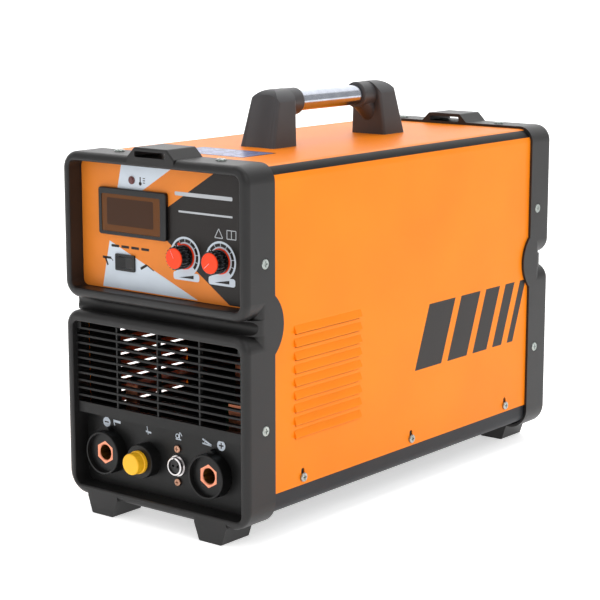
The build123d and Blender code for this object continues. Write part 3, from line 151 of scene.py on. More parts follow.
def inside_of_cover(tree, place):
    """Where the painted shade goes: 1 on the inner skin of the cover's walls and roof, and 0 on the flat outside and in
    the louvre hoods.

    The rounded edges between the walls and the roof lie closer in than the flats, so they are 1 on the outside too.
    """
    axes = add_node(tree, "ShaderNodeSeparateXYZ", links={"Vector": place})
    across = add_node(tree, "ShaderNodeMath", links={0: axes.outputs["X"]}, operation="ABSOLUTE").outputs[0]
    walls = add_node(tree, "ShaderNodeMath", {1: mm(SKIN_SIDE)}, {0: across}, operation="LESS_THAN").outputs[0]
    roof = add_node(tree, "ShaderNodeMath", {1: mm(SKIN_TOP)}, {0: axes.outputs["Z"]}, operation="LESS_THAN")
    return add_node(tree, "ShaderNodeMath", links={0: walls, 1: roof.outputs[0]}, operation="MULTIPLY").outputs[0]


def inside_of_hoods(tree, place):
    """1 where a face of the cover looks back towards the middle, so that place times normal is below 0."""
    facing = add_node(tree, "ShaderNodeNewGeometry").outputs["Normal"]
    across = add_node(tree, "ShaderNodeSeparateXYZ", links={"Vector": place}).outputs["X"]
    normal = add_node(tree, "ShaderNodeSeparateXYZ", links={"Vector": facing}).outputs["X"]
    outward = add_node(tree, "ShaderNodeMath", links={0: across, 1: normal}, operation="MULTIPLY").outputs[0]
    return add_node(tree, "ShaderNodeMath", {1: mm(-20)}, {0: outward}, operation="LESS_THAN").outputs[0]


def powder_coat(name, colour, shade, rough, peel_mm=2.4, peel_depth=0.05, inner_shade=None):
    made, tree, out, place = start_material(name)
    cloud = noise(tree, place, 90, 2).outputs["Fac"]
    peel = noise(tree, place, peel_mm, 2, 0.45).outputs["Fac"]
    speck = noise(tree, place, 0.7, 1).outputs["Fac"]
    colours = ramp(tree, cloud, linear(colour), linear(shade))
    if inner_shade:
        # Painted shade: a dull red-brown on the inner faces of the louvre hoods darkens the openings under them.
        colours = add_node(tree, "ShaderNodeMix", {"B": linear("#6E2408")},
                           {"Factor": inside_of_hoods(tree, place), "A": colours}, data_type="RGBA").outputs[2]
        # Painted shade: near black on the inner skin of the cover, where the inside of the box lies in shade.
        colours = add_node(tree, "ShaderNodeMix", {"B": linear(inner_shade)},
                           {"Factor": inside_of_cover(tree, place), "A": colours}, data_type="RGBA").outputs[2]
    gloss = spread(tree, speck, rough - 0.04, rough + 0.06)
    close_material(tree, out, {"IOR": 1.5, "Specular IOR Level": 0.16, "Coat Weight": 0.03, "Coat Roughness": 0.25},
                   {"Base Color": colours, "Roughness": gloss, "Normal": bump(tree, peel, peel_depth)})
    return made


# Painted shade: the near-black #161413 darkens the inside of the cover.
orange_paint = powder_coat("powder_coated_steel_orange", "#FA8A10", "#F6830C", 0.42, inner_shade="#161413")
grey_paint = powder_coat("powder_coated_steel_grey", "#35373A", "#2E3033", 0.48)

# %% [markdown]
# ## Moulded plastic
# The bezels, the grille and the handle posts are moulded in black ABS. The mould's steel was
# spark eroded, which leaves a fine grain of about half a millimetre on the plastic, so the
# highlights are soft and slightly broken. The small switches and knobs come from polished moulds
# and shine more. One function makes both, with the grain's size and depth as its inputs.

# %% Moulded plastic
def moulded(name, colour, shade, rough, grain_mm=0.6, grain_depth=0.03, coat=0.0, shine=0.35):
    made, tree, out, place = start_material(name)
    grain = noise(tree, place, grain_mm, 2, 0.6).outputs["Fac"]
    flow = noise(tree, place, 40, 3).outputs["Fac"]
    colours = ramp(tree, flow, linear(colour), linear(shade))
    gloss = spread(tree, grain, rough - 0.06, rough + 0.08)
    close_material(tree, out, {"IOR": 1.53, "Specular IOR Level": shine, "Coat Weight": coat, "Coat Roughness": 0.12},
                   {"Base Color": colours, "Roughness": gloss, "Normal": bump(tree, grain, grain_depth)})
    return made


black_abs = moulded("textured_abs_black", "#1E1D1D", "#1A1919", 0.42)
# Painted sheen: the handle posts are the same black ABS, painted a lighter grey for the light that catches them on top
# of the machine.
painted_sheen_abs = moulded("painted_sheen_abs_black", "#444446", "#3E3E40", 0.40, 0.6, 0.02)
panel_abs = moulded("panel_abs_black", "#151515", "#121212", 0.40, 0.6, 0.02, 0.0, 0.25)
switch_plastic = moulded("nylon_black", "#111112", "#0D0D0E", 0.30, 0.4, 0.01)
knob_plastic = moulded("polished_abs_black", "#0B0B0C", "#080809", 0.16, 0.5, 0.006, 0.4)
cap_red = moulded("abs_red", "#FF4519", "#F83E15", 0.38, 0.5, 0.01, 0.05, 0.2)
cap_yellow = moulded("polyethylene_yellow", "#FFC020", "#F9B81C", 0.40, 0.7, 0.02)
lamp_plastic = moulded("lamp_red", "#5A1214", "#420D0F", 0.15, 0.5, 0.004, 0.6)
sleeve_plastic = moulded("shrink_sleeve", "#14161F", "#10121A", 0.3, 0.8, 0.01)
board_mask = moulded("solder_mask_green", "#14532D", "#10462A", 0.35, 3.0, 0.02, 0.3)
hose_rubber = moulded("hose_rubber", "#1B1B1B", "#232323", 0.55, 0.8, 0.03)

# %% [markdown]
# ## Metals
# Metal has no body colour: its base colour tints its reflections. What sets one metal part apart
# from another is how it was worked. The tube of the handle is drawn and polished, so fine lines
# run along it. The screws are zinc plated, bright with a slight blue haze. The copper contacts
# are turned on a lathe. Fine lines come from noise that is stretched along one axis.

# %% Metals
def worked_metal(name, colour, shade, rough, line_mm, stretch, depth=0.008):
    """Metal with tool lines: `stretch` scales the noise along X, Y and Z, and is small along the lines."""
    made, tree, out, place = start_material(name)
    mapped = add_node(tree, "ShaderNodeMapping", {"Scale": stretch}, {"Vector": place}).outputs["Vector"]
    lines = noise(tree, mapped, line_mm, 3, 0.6).outputs["Fac"]
    haze = noise(tree, place, 12, 2).outputs["Fac"]
    colours = ramp(tree, haze, linear(colour), linear(shade))
    gloss = spread(tree, lines, rough * 0.75, rough * 1.35)
    close_material(tree, out, {"Metallic": 1.0},
                   {"Base Color": colours, "Roughness": gloss, "Normal": bump(tree, lines, depth)})
    return made


polished_tube = worked_metal("drawn_aluminium_polished", "#C4C9D3", "#B6BBC7", 0.16, 0.6, (1, 0.02, 1))
zinc_steel = worked_metal("zinc_plated_steel", "#A9B0AC", "#969D99", 0.26, 0.5, (1, 1, 1))
plain_aluminium = worked_metal("extruded_aluminium", "#C9CCCF", "#BEC2C6", 0.34, 0.6, (1, 0.05, 1))
nickel = worked_metal("nickel_plate", "#D9D6D6", "#C9C5C6", 0.18, 0.4, (1, 0.1, 1))
turned_copper = worked_metal("turned_copper", "#EE9A78", "#E08A66", 0.30, 0.4, (1, 0.1, 1))
turned_brass = worked_metal("turned_brass", "#C99A4E", "#B98A42", 0.30, 0.4, (1, 0.1, 1))
winding = worked_metal("enamelled_winding_wire", "#A4552A", "#7E3B1B", 0.35, 1.2, (1, 0.06, 1), 0.2)

# %% Contacts with a worn bore
BORE_START = -220.5      # mm along Y, just behind the hexagonal face


def contact_metal(name):
    """Turned copper whose bore, behind the hexagonal face, is dulled to a dark brass colour."""
    made, tree, out, place = start_material(name)
    streaks = add_node(tree, "ShaderNodeMapping", {"Scale": (1, 0.08, 1)}, {"Vector": place}).outputs["Vector"]
    lines = noise(tree, streaks, 1.2, 3, 0.6).outputs["Fac"]
    axes = add_node(tree, "ShaderNodeSeparateXYZ", links={"Vector": place})
    bore = add_node(tree, "ShaderNodeMath", {1: mm(BORE_START)}, {0: axes.outputs["Y"]}, operation="GREATER_THAN")
    worn = ramp(tree, lines, linear("#6E4A16"), linear("#A87A33"))
    colours = add_node(tree, "ShaderNodeMix", {"A": linear("#F09C7C")}, {"Factor": bore.outputs[0], "B": worn},
                       data_type="RGBA").outputs[2]
    close_material(tree, out, {"Metallic": 0.85}, {"Base Color": colours, "Roughness": spread(tree, lines, 0.3, 0.5),
                                                   "Normal": bump(tree, lines, 0.02)})
    return made


contact_copper = contact_metal("contact_copper")
rosy_zinc = worked_metal("passivated_zinc", "#B98F79", "#A97F69", 0.28, 0.5, (1, 1, 1))

# %% [markdown]
# ## The amber meter window
# The meter's digits sit behind a filter of smoked amber acrylic. With the machine switched off
# it looks like dark brown glass. A part-transparent, deep coloured shader lets a little of the
# digits show through, as the real filter does.

# %% Meter window
def smoked_acrylic(name, colour):
    made, tree, out, place = start_material(name)
    scuff = noise(tree, place, 14, 3).outputs["Fac"]
    close_material(tree, out, {"Base Color": linear(colour), "IOR": 1.49, "Transmission Weight": 0.2,
                               "Specular IOR Level": 0.08, "Coat Weight": 0.04, "Coat Roughness": 0.1},
                   {"Roughness": spread(tree, scuff, 0.08, 0.16)})
    return made


amber = smoked_acrylic("smoked_amber_acrylic", "#6A3D12")
amber_deep = smoked_acrylic("smoked_amber_over_digits", "#42240C")

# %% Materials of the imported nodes
finishes = {
    orange_paint: ["cover"],
    grey_paint: ["base_tray", "control_plate", "rear_plate", "fan_guard"],
    black_abs: ["front_bezel", "rear_bezel", "fan_frame", "fan_rotor", "cable_gland"],
    painted_sheen_abs: ["handle_post_front", "handle_post_rear"],
    panel_abs: ["front_grille", "connector_panel", "negative_socket", "positive_socket", "gas_outlet_collar"],
    switch_plastic: ["display_frame", "mode_switch_body", "mode_rocker", "power_switch_body", "power_toggle",
                     "torch_socket_insert"],
    knob_plastic: ["gas_delay_knob", "current_knob"],
    cap_red: ["gas_delay_cap", "current_cap", "gas_delay_pointer", "current_pointer"],
    cap_yellow: ["gas_dust_cap"],
    lamp_plastic: ["overheat_lamp"],
    amber: ["display_window"],
    polished_tube: ["handle_tube"],
    zinc_steel: ["bezel_side_screws", "bezel_top_screws", "cover_screws", "handle_screws",
                 "fan_screws", "earth_stud", "valve_plunger"],
    plain_aluminium: ["heatsinks", "potentiometers", "gas_delay_shaft", "current_shaft"],
    nickel: ["torch_socket_shell"],
    contact_copper: ["negative_contact", "positive_contact"],
    turned_copper: ["busbars"],
    rosy_zinc: ["torch_socket_screws"],
    turned_brass: ["gas_outlet", "gas_inlet", "gas_valve"],
    winding: ["main_transformer", "output_inductor", "arc_starter"],
    sleeve_plastic: ["capacitors"],
    board_mask: ["control_board", "power_board"],
    hose_rubber: ["gas_hose"],
}
for finish, names in finishes.items():
    for name in names:
        slots = node[name].data.materials
        slots.clear()
        slots.append(finish)
print("finished nodes:", sum(len(names) for names in finishes.values()))

# %% [markdown]
# ## From bmesh to a piece of the machine
# New pieces are shaped with bmesh operators. One function turns a finished bmesh into an object, gives it a material,
# and says which body it rides on.

# %% Finishing a piece
def make_piece(bm, name, material, body="root", smooth=False):
    bmesh.ops.remove_doubles(bm, verts=bm.verts, dist=mm(0.001))
    mesh = bpy.data.meshes.new(name)
    bm.to_mesh(mesh)
    bm.free()
    for face in mesh.polygons:
        face.use_smooth = smooth
    mesh.materials.append(material)
    piece = bpy.data.objects.new(name, mesh)
    bpy.context.scene.collection.objects.link(piece)
    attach(piece, body)
    print(name, len(mesh.polygons), "faces")
    return piece


# %% [markdown]
# ## Printing ink
# The colours of the control panel are screen printed on a plastic film. Each colour is a flat
# shape, so we cut it from sheet a few hundredths of a millimetre thick and lay it on the film.
# A shape is drawn in the plane of its panel as (across, up) in millimetres, then a matrix stands
# it on the panel. Later colours lie a little further out, as later inks do.

# %% Ink shapes
INK = 0.05               # mm, thickness of one layer of ink


def upright(depth_y):
    """Stands a drawing on a panel that faces the front, at the given Y in millimetres."""
    return Matrix(((1, 0, 0, 0), (0, 0, -1, depth_y), (0, 1, 0, 0), (0, 0, 0, 1)))


def outline(bm, points):
    """One flat face from the corners of its outline."""
    return bm.faces.new([bm.verts.new((x, y, 0)) for x, y in points])


def disc(bm, x, y, radius, steps=40):
    made = bmesh.ops.create_circle(bm, cap_ends=True, segments=steps, radius=radius)
    bmesh.ops.translate(bm, verts=made["verts"], vec=(x, y, 0))


def sector(bm, x, y, inner, outer, start, sweep, steps):
    """Part of a ring: an edge from the inner to the outer radius is spun about the centre."""
    ray = Vector((math.cos(math.radians(start)), math.sin(math.radians(start)), 0))
    centre = Vector((x, y, 0))
    ends = [bm.verts.new(centre + ray * inner), bm.verts.new(centre + ray * outer)]
    edge = bm.edges.new(ends)
    bmesh.ops.spin(bm, geom=ends + [edge], cent=centre, axis=(0, 0, 1), angle=math.radians(sweep),
                   steps=steps, use_merge=abs(sweep) >= 360)


def stroke(bm, start, end, width):
    """A straight pen stroke."""
    along = Vector((end[0] - start[0], end[1] - start[1], 0))
    side = along.cross(Vector((0, 0, 1))).normalized() * width / 2
    a, b = Vector((*start, 0)), Vector((*end, 0))
    outline(bm, [(a - side)[:2], (b - side)[:2], (b + side)[:2], (a + side)[:2]])


def rounded(bm, x, y, width, height, radius):
    """A rectangle with round corners."""
    made = bmesh.ops.create_grid(bm, x_segments=1, y_segments=1, size=0.5)
    bmesh.ops.scale(bm, verts=made["verts"], vec=(width, height, 1))
    bmesh.ops.translate(bm, verts=made["verts"], vec=(x, y, 0))
    bmesh.ops.bevel(bm, geom=made["verts"], offset=radius, segments=6, profile=0.5, affect="VERTICES",
                    material=-1)


def print_ink(bm, name, material, stand, layer=0, body="root"):
    """Gives a drawing its thickness, lifts it to its layer and stands it on its panel."""
    bmesh.ops.recalc_face_normals(bm, faces=bm.faces)
    for face in bm.faces:
        if face.normal.z < 0:
            face.normal_flip()
    base = list(bm.faces)
    lifted = bmesh.ops.extrude_face_region(bm, geom=base, use_keep_orig=True)
    top = [v for v in lifted["geom"] if isinstance(v, bmesh.types.BMVert)]
    bmesh.ops.translate(bm, verts=top, vec=(0, 0, INK))
    bmesh.ops.translate(bm, verts=bm.verts, vec=(0, 0, INK * (layer + 0.2)))
    bmesh.ops.transform(bm, matrix=stand, verts=bm.verts)
    bmesh.ops.scale(bm, verts=bm.verts, vec=(MM, MM, MM))
    bmesh.ops.recalc_face_normals(bm, faces=bm.faces)
    return make_piece(bm, name, material, body)


def ink(name, colour, rough=0.42):
    """Screen printed ink: an even colour with a very fine dot texture from the mesh of the screen."""
    made, tree, out, place = start_material(name)
    dots = add_node(tree, "ShaderNodeTexVoronoi", {"Scale": 1000 / 0.5}, {"Vector": place}).outputs["Distance"]
    tone = noise(tree, place, 25, 2).outputs["Fac"]
    shade = tuple(c * 0.93 for c in linear(colour)[:3]) + (1.0,)
    close_material(tree, out, {"IOR": 1.5, "Specular IOR Level": 0.25, "Coat Weight": 0.08, "Coat Roughness": 0.3},
                   {"Base Color": ramp(tree, tone, linear(colour), shade),
                    "Roughness": spread(tree, dots, rough - 0.05, rough + 0.05),
                    "Normal": bump(tree, dots, 0.01)})
    return made


ink_orange = ink("screen_ink_orange", "#E4822A")
ink_white = ink("screen_ink_white", "#CFD8E2")
ink_black = ink("screen_ink_black", "#1E1917")
ink_grey = ink("screen_ink_grey", "#B9BCC0")

# %% [markdown]
# ## The control panel's film
# The film under the controls is orange. White covers two slanted fields on the left, and black
# covers the right. Their edges are straight lines between a few points of the drawing. The two
# fields of black and white meet the edge of the film, whose place we read from its box.

# %% Colour fields
film_low, film_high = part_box("control_decal")
film_face = film_low[1] / MM
film_bottom = film_low[2] / MM + 1
film_top = film_high[2] / MM - 1
film_right = film_high[0] / MM - 1
on_panel = upright(film_face)
node["control_decal"].data.materials.clear()
node["control_decal"].data.materials.append(ink_orange)


def at_height(low_point, high_point, height):
    """The place across where the line through two points reaches a height."""
    part = (height - low_point[1]) / (high_point[1] - low_point[1])
    return (low_point[0] + (high_point[0] - low_point[0]) * part, height)


white_left = ((-70.9, 198.3), (-47.6, 301.8))
white_notch = (-56.8, 262.9)
white_upper = (white_notch, (5.3, 301.5))
white_apex = (-62.2, 238.2)
white_lower = ((37.1, 198.1), white_apex)
black_tip = (-17.1, 258.4)
black_upper = (black_tip, (51.6, 301.3))
black_lower = ((71.3, 198.1), black_tip)

fields = bmesh.new()
outline(fields, [white_notch, at_height(*white_upper, film_top), at_height(*white_left, film_top)])
outline(fields, [at_height(*white_left, film_bottom), at_height(*white_lower, film_bottom), white_apex])
print_ink(fields, "panel_white_fields", ink_white, on_panel)

dark = bmesh.new()
outline(dark, [black_tip, at_height(*black_lower, film_bottom), (film_right, film_bottom),
               (film_right, film_top), at_height(*black_upper, film_top)])
print_ink(dark, "panel_black_field", ink_black, on_panel)

# %% [markdown]
# ## Dials and marks
# Each knob turns over a printed dial: a white ring whose black band is cut by eleven white ticks,
# over the 270 degrees that a potentiometer turns. The words of a real panel are left out. Plain
# signs stand in their places: a growing wedge below each knob, a torch and an electrode beside
# the rocker, and bars where the headings were.

# %% Dials
DIAL_OUTER = 16.3        # mm, radius
DIAL_INNER = 4.2
BAND = (11.9, 14.5)      # inner and outer radius
SEGMENTS = 10
SWEEP = 270              # degrees
STEP = SWEEP / SEGMENTS
TICK_WIDTH = 2.6         # degrees
TAB_SHIFT = (1.2, -16.6)  # from the middle of the dial
TAB = (28.4, 6.8, 2.2)   # width, height and corner radius
knob_box = {name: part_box(f"{name}_cap") for name in ("gas_delay", "current")}
dial_centres = {name: ((low[0] + high[0]) / 2 / MM, (low[2] + high[2]) / 2 / MM)
                for name, (low, high) in knob_box.items()}

rings = bmesh.new()
tabs = bmesh.new()
bands = bmesh.new()
wedges = bmesh.new()
for x, z in dial_centres.values():
    sector(rings, x, z, DIAL_INNER, DIAL_OUTER, 0, 360, 96)
    tab_x, tab_z = x + TAB_SHIFT[0], z + TAB_SHIFT[1]
    rounded(tabs, tab_x, tab_z, *TAB)
    outline(wedges, [(tab_x - 8, tab_z - 1.4), (tab_x + 8, tab_z - 1.4), (tab_x + 8, tab_z + 1.6)])
    for segment in range(SEGMENTS):
        start = 90 + SWEEP / 2 - STEP * (segment + 1) + TICK_WIDTH / 2
        sector(bands, x, z, *BAND, start, STEP - TICK_WIDTH, 8)
print_ink(rings, "dial_rings", ink_white, on_panel, 1)
print_ink(tabs, "dial_tabs", ink_white, on_panel, 2)
print_ink(bands, "dial_bands", ink_black, on_panel, 3)
print_ink(wedges, "dial_wedges", ink_black, on_panel, 3)

# %% Marks on the control panel
lamp_low, lamp_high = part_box("overheat_lamp")
lamp_x = (lamp_low[0] + lamp_high[0]) / 2 / MM
lamp_z = (lamp_low[2] + lamp_high[2]) / 2 / MM
marks = bmesh.new()
# A thermometer beside the overheat lamp.
disc(marks, lamp_x + 9.5, lamp_z - 2.2, 1.6)
rounded(marks, lamp_x + 9.5, lamp_z + 0.9, 1.2, 5.0, 0.5)
for bar in range(3):
    stroke(marks, (lamp_x + 12.5, lamp_z - 1.4 + bar * 1.9), (lamp_x + 15.0, lamp_z - 1.4 + bar * 1.9), 0.7)
# A row of bars above the rocker.
rocker_low, rocker_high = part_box("mode_switch_body")
rocker_x = (rocker_low[0] + rocker_high[0]) / 2 / MM
rocker_z = (rocker_low[2] + rocker_high[2]) / 2 / MM
for bar in range(4):
    rounded(marks, rocker_x - 12 + bar * 11.5, rocker_z + 13.4, 9.0, 2.2, 0.6)
# A torch to the left of the rocker, and a stick electrode to the right.
stroke(marks, (rocker_x - 27, rocker_z + 2.5), (rocker_x - 17, rocker_z + 2.5), 2.0)
stroke(marks, (rocker_x - 24, rocker_z + 2.5), (rocker_x - 21, rocker_z - 4.0), 1.8)
stroke(marks, (rocker_x - 17.4, rocker_z + 2.5), (rocker_x - 15.0, rocker_z + 0.2), 0.7)
stroke(marks, (rocker_x + 17, rocker_z - 3.4), (rocker_x + 24, rocker_z + 0.4), 2.2)
stroke(marks, (rocker_x + 24, rocker_z + 0.4), (rocker_x + 32, rocker_z - 3.6), 0.9)
print_ink(marks, "panel_dark_marks", ink_black, on_panel, 1)

# %% Light marks on the black field
HEADINGS = ((13, 62, 284.5, 3.2), (17, 58, 270.0, 1.6))     # left end, width, height and thickness

light_marks = bmesh.new()
for left, width, height, thick in HEADINGS:
    rounded(light_marks, left + width / 2, height, width, thick, thick * 0.35)
# Two small open frames, a triangle and a book, above the right-hand dial.
corner = [(56.0, 252.0), (64.5, 252.0), (60.25, 259.5)]
for first, second in zip(corner, corner[1:] + corner[:1]):
    stroke(light_marks, first, second, 0.7)
page = [(69.0, 252.0), (78.5, 252.0), (78.5, 259.0), (69.0, 259.0)]
for first, second in zip(page, page[1:] + page[:1]):
    stroke(light_marks, first, second, 0.7)
stroke(light_marks, (73.75, 252.0), (73.75, 259.0), 0.7)
print_ink(light_marks, "panel_light_marks", ink_grey, on_panel, 1)

# %% [markdown]
# ## The digits behind the window
# The display module behind the window is darker than its surround, so the filter looks deeper in
# a rectangle about four fifths of its width. A thin sheet of the deeper amber shows that.

# %% Digit area
window_low, window_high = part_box("display_window")
window_x = (window_low[0] + window_high[0]) / 2 / MM
window_z = (window_low[2] + window_high[2]) / 2 / MM
digits = bmesh.new()
rounded(digits, window_x - 1.0, window_z + 1.2, 53, 23, 1.5)
print_ink(digits, "digit_area", amber_deep, upright(window_low[1] / MM))

# %% [markdown]
# ## Signs above the sockets
# The connector panel carries its signs in white, straight on the plastic: minus and plus discs
# beside the two cable sockets, and line drawings of the torch, the gas hose, the control plug
# and the earth clamp.

# %% Signs on the connector panel
connector_low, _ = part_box("connector_panel")
on_connectors = upright(connector_low[1] / MM)
signs = bmesh.new()
disc(signs, -71.0, 78.1, 4.3)
disc(signs, 60.1, 79.0, 4.4)
# Torch
stroke(signs, (-63.0, 80.4), (-54.5, 80.0), 2.2)
stroke(signs, (-62.6, 79.6), (-61.4, 76.4), 1.0)
# Gas
stroke(signs, (-24.6, 77.4), (-18.6, 76.8), 1.5)
stroke(signs, (-23.4, 82.0), (-22.0, 75.0), 0.7)
# Control plug
stroke(signs, (9.6, 76.4), (15.6, 76.4), 0.9)
sector(signs, 11.4, 79.2, 1.4, 2.1, 0, 360, 20)
stroke(signs, (13.8, 83.6), (16.6, 80.0), 0.8)
stroke(signs, (13.8, 83.6), (13.8, 76.6), 0.8)
# Clamp
stroke(signs, (39.5, 81.4), (49.5, 77.4), 1.5)
stroke(signs, (39.5, 77.8), (49.5, 77.0), 1.2)
stroke(signs, (42.0, 81.6), (42.0, 77.4), 0.8)
print_ink(signs, "connector_signs", ink_white, on_connectors)
poles = bmesh.new()
stroke(poles, (-73.4, 78.1), (-68.6, 78.1), 1.2)
stroke(poles, (57.6, 79.0), (62.6, 79.0), 1.2)
stroke(poles, (60.1, 76.5), (60.1, 81.5), 1.2)
print_ink(poles, "connector_poles", ink_black, on_connectors, 1)

# %% [markdown]
# ## The graphic on the sides
# Both sides of the cover carry a large dark print. Ours is a plain one: five slanted bars that
# step down in width towards the rear. It lies on the cover's flat side, inside the box that the
# louvre hoods reach.

# %% Side bars
COVER_SIDE = 100.0       # mm from the middle
BAR_FOOT = 108.0
BAR_TOP = 166.0
SLANT = 22.0
FIRST_BAR = 6.0
BAR_GAP = 10.0
BAR_WIDTHS = (42.0, 32.0, 24.0, 16.0, 10.0)


def on_side(side):
    """Stands a drawing on one side of the cover. Its across runs from front to rear."""
    return Matrix(((0, 0, side, side * COVER_SIDE), (1, 0, 0, 0), (0, 1, 0, 0), (0, 0, 0, 1)))


for side, side_name in ((1, "right"), (-1, "left")):
    stripes = bmesh.new()
    across = FIRST_BAR
    for width in BAR_WIDTHS:
        outline(stripes, [(across, BAR_FOOT), (across + width, BAR_FOOT),
                          (across + width + SLANT, BAR_TOP), (across + SLANT, BAR_TOP)])
        across += width + BAR_GAP
    print_ink(stripes, f"side_bars_{side_name}", ink_black, on_side(side))

# %% [markdown]
# ## The rating label
# A pale label with a dark border lies on top of the cover, in front of the handle. Rows of short
# bars stand for its table of figures.

# %% Rating label
LABEL = (-41.0, -163.0, 83.0, 45.0)     # least X, least Y, width and depth
COVER_TOP = 311.0
label_film = ink("label_film_pale", "#7C82AE", 0.3)
on_top = Matrix(((1, 0, 0, 0), (0, 1, 0, 0), (0, 0, 1, COVER_TOP), (0, 0, 0, 1)))
label_x, label_y, label_width, label_height = LABEL
border = bmesh.new()
rounded(border, label_x + label_width / 2, label_y + label_height / 2, label_width, label_height, 2.0)
print_ink(border, "rating_label_border", ink_black, on_top)
face = bmesh.new()
rounded(face, label_x + label_width / 2, label_y + label_height / 2, label_width - 4, label_height - 4, 1.2)
print_ink(face, "rating_label_face", label_film, on_top, 1)
rows = bmesh.new()
for row in range(5):
    for column in range(4):
        row_y = label_y + 7 + row * 7.6
        start_x = label_x + 6 + column * 18.6
        stroke(rows, (start_x, row_y), (start_x + (14, 9, 12, 6)[(row + column) % 4], row_y), 1.1)
print_ink(rows, "rating_label_rows", ink_black, on_top, 2)

# %% [markdown]
# ## Lines on the knobs
# A white line on each cap shows where the knob points. It is filled paint in a moulded groove,
# and it turns with its dial.

# %% Knob lines
KNOB_TURNS = {"gas_delay": 30, "current": 130}      # degrees round from straight up
LINE_LENGTH = 7.0
LINE_WIDTH = 0.45
LINE_SETBACK = 0.33      # mm behind the foremost face of a cap

for name, turn in KNOB_TURNS.items():
    low, _ = knob_box[name]
    x, z = dial_centres[name]
    angle = math.radians(90 + turn)
    line = bmesh.new()
    stroke(line, (x, z), (x + LINE_LENGTH * math.cos(angle), z + LINE_LENGTH * math.sin(angle)), LINE_WIDTH)
    print_ink(line, f"{name}_line", ink_white, upright(low[1] / MM + LINE_SETBACK), 0, f"{name}_dial")

# %% [markdown]
# ## Gussets at the waist
# Each bezel is set back between its two rims. On each side, where the round corners of the rims
# meet the waist, the model leaves a small opening. A gusset closes it in this visual model only.

# %% Gussets
LOWER_RIM_TOP = 177.0
UPPER_RIM_BOTTOM = 188.0
GUSSET_OVERLAP = 15.0        # mm, how far a gusset runs behind each rim
GUSSET_WIDTH = 8.0
GUSSET_START = 16.0         # mm, behind the face of the rims
GUSSET_DEPTH = 8.5
GUSSET_ROUND = 6.5
INSET = 0.05                # mm, keeps a gusset just under the skin of the rims


def gusset(name, side, end, bezel_side, bezel_face):
    """A block with a round outer edge, on one side of the front (end = -1) or rear (end = 1) bezel."""
    height = UPPER_RIM_BOTTOM - LOWER_RIM_TOP + 2 * GUSSET_OVERLAP
    block = bmesh.new()
    bmesh.ops.create_cube(block, size=1)
    bmesh.ops.scale(block, verts=block.verts, vec=(GUSSET_WIDTH, GUSSET_DEPTH, height))
    outer = [e for e in block.edges if all(v.co.x > 0 and v.co.y > 0 for v in e.verts)]
    bmesh.ops.bevel(block, geom=outer, offset=GUSSET_ROUND, segments=8, profile=0.5, affect="EDGES", material=-1)
    bmesh.ops.translate(block, verts=block.verts, vec=(
        bezel_side - INSET - GUSSET_WIDTH / 2, bezel_face - GUSSET_START - GUSSET_DEPTH / 2,
        (LOWER_RIM_TOP + UPPER_RIM_BOTTOM) / 2))
    bmesh.ops.transform(block, matrix=Matrix.Diagonal((side * MM, end * MM, MM, 1)), verts=block.verts)
    bmesh.ops.recalc_face_normals(block, faces=block.faces)
    return make_piece(block, name, black_abs)


_, bezel_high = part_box("rear_bezel")
for end, end_name in ((-1, "front"), (1, "rear")):
    for side, side_name in ((-1, "left"), (1, "right")):
        gusset(f"waist_gusset_{end_name}_{side_name}", side, end, bezel_high[0] / MM, bezel_high[1] / MM)

# %% [markdown]
# ## Floor, light and camera
# The machine stands on pale paper with a backdrop behind it, in even studio light: a large
# soft light from the right and above, a weaker one from the left, and a pale world that fills the
# shadows. The camera looks at the front and the right side from a little above.

# %% Floor
def paper(name, colour, glow):
    made, tree, out, place = start_material(name)
    fibres = noise(tree, place, 5, 3).outputs["Fac"]
    close_material(tree, out, {"Roughness": 0.9, "Emission Color": linear("#FFFFFF"), "Emission Strength": glow},
                   {"Base Color": ramp(tree, fibres, linear(colour), linear(colour)),
                    "Normal": bump(tree, fibres, 0.02)})
    return made


def studio_sheet(name, size, stand, glow):
    """A large square of paper that glows a little, as paper does under more light than the machine gets."""
    sheet = bmesh.new()
    bmesh.ops.create_grid(sheet, x_segments=1, y_segments=1, size=size)
    bmesh.ops.transform(sheet, matrix=stand, verts=sheet.verts)
    data = bpy.data.meshes.new(name)
    sheet.to_mesh(data)
    sheet.free()
    data.materials.append(paper(name, "#FFFFFF", glow))
    made = bpy.data.objects.new(name, data)
    bpy.context.scene.collection.objects.link(made)


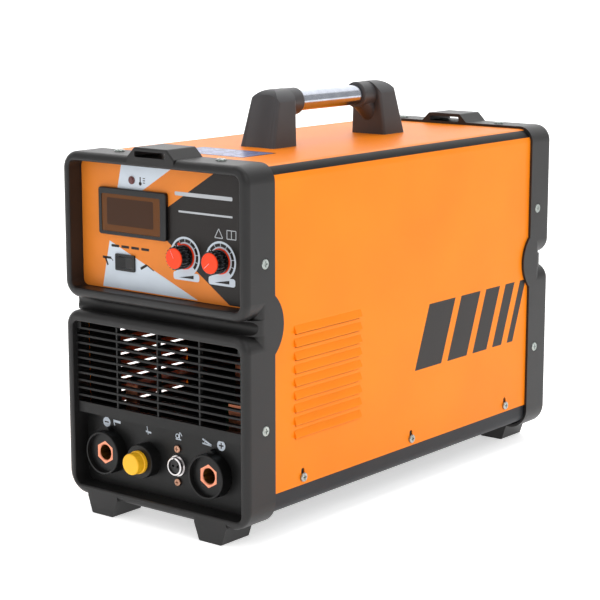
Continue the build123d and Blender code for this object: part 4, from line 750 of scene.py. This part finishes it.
AZIMUTH = 38.5           # degrees to the right of the front, where the camera stands
FLOOR_GLOW = 0.55
BACKDROP_GLOW = 0.85
BACKDROP_AWAY = 5.0      # m behind the machine
studio_sheet("floor_paper", 8, Matrix.Identity(4), FLOOR_GLOW)
behind = Matrix.Rotation(math.radians(AZIMUTH), 4, "Z") @ Matrix.Translation((0, BACKDROP_AWAY, 3.0)) @ Matrix.Rotation(
    math.radians(90), 4, "X")
studio_sheet("backdrop_paper", 9, behind, BACKDROP_GLOW)

# %% Lights
WORLD_STRENGTH = 0.51

world = bpy.data.worlds.new("studio")
bpy.context.scene.world = world
world.use_nodes = True
world.node_tree.nodes["Background"].inputs["Color"].default_value = (1.0, 1.0, 1.0, 1.0)
world.node_tree.nodes["Background"].inputs["Strength"].default_value = WORLD_STRENGTH


def soft_light(name, place, size, power, aim=(0, 0, 0.15)):
    """A square studio light that faces the machine."""
    data = bpy.data.lights.new(name, "AREA")
    data.energy = power
    data.size = size
    lamp = bpy.data.objects.new(name, data)
    lamp.location = place
    lamp.rotation_euler = (Vector(aim) - Vector(place)).to_track_quat("-Z", "Y").to_euler()
    bpy.context.scene.collection.objects.link(lamp)


soft_light("key", (1.6, -0.4, 1.5), 1.2, 9)
soft_light("front", (-0.5, -2.0, 1.2), 1.2, 7)
soft_light("top", (0.0, 0.3, 2.2), 1.5, 12.5)

# %% Camera
ELEVATION = 10.77
DISTANCE = 1.7035
AIM = (-0.0272, 0.0, 0.1589)
LENS = 109.45

camera_data = bpy.data.cameras.new("camera")
camera_data.lens = LENS
camera = bpy.data.objects.new("camera", camera_data)
turn, lift = math.radians(AZIMUTH), math.radians(ELEVATION)
back = Vector((math.sin(turn) * math.cos(lift), -math.cos(turn) * math.cos(lift), math.sin(lift)))
camera.location = Vector(AIM) + back * DISTANCE
camera.rotation_euler = (-back).to_track_quat("-Z", "Y").to_euler()
bpy.context.scene.collection.objects.link(camera)
bpy.context.scene.camera = camera
bpy.context.scene.view_settings.view_transform = "Standard"
